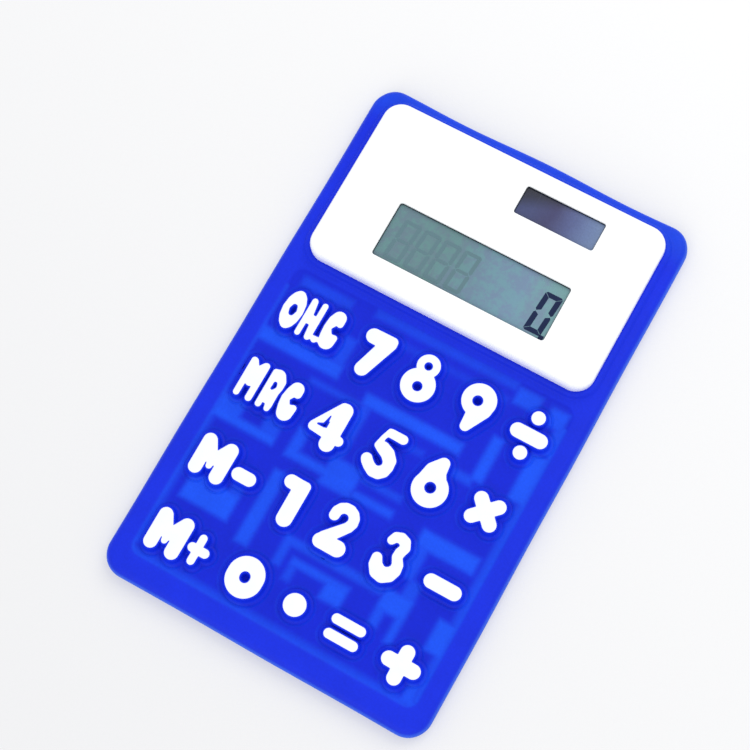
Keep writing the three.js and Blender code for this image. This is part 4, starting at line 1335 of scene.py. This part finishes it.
def padded_film(x, y):
    return film_top + np.where(nearest_of(PADS, x, y) < 0, PAD_RISE, 0.0)


film_region = (resample(np.array(corners), 1.0), [])
pad_loops = step_loops(PADS, 0)
whole_film = solid("whole_film", film_region, (pad_loops, 0.9), ([], 3), padded_film, flat(film_bottom))
film = Finish("membrane_film", Specular_IOR_Level=0.4)
cloud = film.noise(0.6, 3)
tint = film.mix(0.3, film.tone(), film.ramp(cloud, (0.3, 0.8), (0.7, 1.15)), "MULTIPLY")
FILM = film.done(tint, (cloud, 0.22, 0.45), (cloud, 0.01, 0.5))
FILM_CLEAR = np.array(linear(168, 188, 214))
FILM_SILVER = np.array(linear(206, 210, 214))
FILM_CARBON = np.array(linear(34, 36, 40))


def film_colours(place):
    x, y = place[:, :2].T
    colours = blend_colour(FILM_CLEAR, FILM_SILVER, track_light(x, y))
    return np.where((nearest_of(PADS, x, y) < 0)[:, None], FILM_CARBON, colours)


nodes = [["membrane_circuit"]] * len(SOFT_BODIES)
lay_strips(whole_film, "membrane_film", film_colours, FILM, nodes, wanders=False)


# ---- Finishes of the CAD nodes that are shown as they are ----
def board_finish():
    """Green solder mask over etched tracks."""
    made = Finish("circuit_board")
    sizes = {"Scale": 0.38 / MM, "Mortar Size": 0.06, "Brick Width": 1.7, "Row Height": 0.32}
    lines = made.node("TexBrick", {"Vector": made.place, **sizes}).outputs["Fac"]
    cloud = made.noise(0.5, 3)
    mask = made.mix(cloud, linear(18, 92, 50), linear(30, 118, 62))
    track = made.mix(cloud, linear(48, 142, 80), linear(70, 158, 92))
    return made.done(made.mix(lines, mask, track), (cloud, 0.3, 0.5), (lines, 0.03, 0.6))


ZEBRA_LAYER = 0.12 * MM


def zebra_finish():
    """Elastomer connector: fine dark and light layers across its length."""
    made = Finish("zebra_rubber")
    band = made.math("PINGPONG", made.along("X"), ZEBRA_LAYER)
    stripe = made.math("GREATER_THAN", band, ZEBRA_LAYER / 2)
    grain = made.noise(2.0, 3)
    light = made.mix(grain, linear(186, 188, 190), linear(206, 206, 204))
    dark = made.mix(grain, linear(24, 25, 27), linear(42, 43, 46))
    return made.done(made.mix(stripe, light, dark), (grain, 0.6, 0.85), (grain, 0.02, 0.5))


def wire_finish(name, colour):
    return clouded(name, colour, darker(colour, 0.7), (0.8, 3, 0.6), (0.3, 0.5), (0.02, 0.5), (3, 0.4, 3))


zebra = zebra_finish()
KEPT_NODES = {
    "lcd_reflector": brushed("reflector_foil", linear(214, 216, 218), (1, 1, 1), (0.3, 0.5)),
    "lcd_zebra_strip": zebra,
    "tail_zebra_strip": zebra,
    "circuit_board": board_finish(),
    "solar_lead_positive": wire_finish("wire_red", linear(186, 24, 22)),
    "solar_lead_negative": wire_finish("wire_black", linear(26, 26, 28)),
    "cell_contact_negative": SPRING_STEEL,
    "cell_contact_positive": SPRING_STEEL,
}
for name, material in KEPT_NODES.items():
    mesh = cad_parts[name].data
    mesh.materials.clear()
    mesh.materials.append(material)

# ---- Stage ----
SKY_STRENGTH = 0.92
FLOOR_GLOW = 0.34
FLOOR_Z = -0.02 * MM
FLOOR_HALF = 1.5
floor_mesh = bpy.data.meshes.new("floor")
corners = [(FLOOR_HALF * x, FLOOR_HALF * y, FLOOR_Z) for x, y in ((-1, -1), (1, -1), (1, 1), (-1, 1))]
floor_mesh.from_pydata(corners, [], [(0, 1, 2, 3)])
floor = shown("floor", floor_mesh)
pale = Finish("pale_floor", Roughness=0.8, Specular_IOR_Level=0.1)
# Painted light: the floor is lighter towards the top and the right, standing in for the fall-off of the
# lamps' light.
across = pale.math("MULTIPLY_ADD", pale.along("X"), 1.1, 0.56)
painted_falloff = pale.math("MULTIPLY_ADD", pale.along("Y"), 3.0, across, clamp=True)
tint = pale.mix(painted_falloff, linear(173, 173, 175), linear(195, 195, 195))
floor_mesh.materials.append(pale.done(tint, None, (pale.noise(1.2, 2), 0.05, 0.6)))
# The floor's glow is painted light that softens the shadows on it.
pale.shader.inputs["Emission Color"].default_value = (1, 1, 1, 1)
pale.shader.inputs["Emission Strength"].default_value = FLOOR_GLOW

world = bpy.data.worlds.new("studio")
scene.world = world
world.use_nodes = True
background = world.node_tree.nodes["Background"]
background.inputs["Color"].default_value = (0.985, 0.99, 1.0, 1)
background.inputs["Strength"].default_value = SKY_STRENGTH


def soft_light(name, place, size, power):
    """A square lamp that faces the calculator."""
    data = bpy.data.lights.new(name, "AREA")
    data.shape = "SQUARE"
    data.size = size
    data.energy = power
    lamp = shown(name, data)
    lamp.location = place
    lamp.rotation_mode = "QUATERNION"
    lamp.rotation_quaternion = (-Vector(place)).to_track_quat("-Z", "Y")


soft_light("key_light", (0.2, 0.75, 0.9), 0.8, 4)
soft_light("fill_light", (0.1, -0.9, 0.8), 0.9, 3.5)

scene.view_settings.view_transform = "Standard"
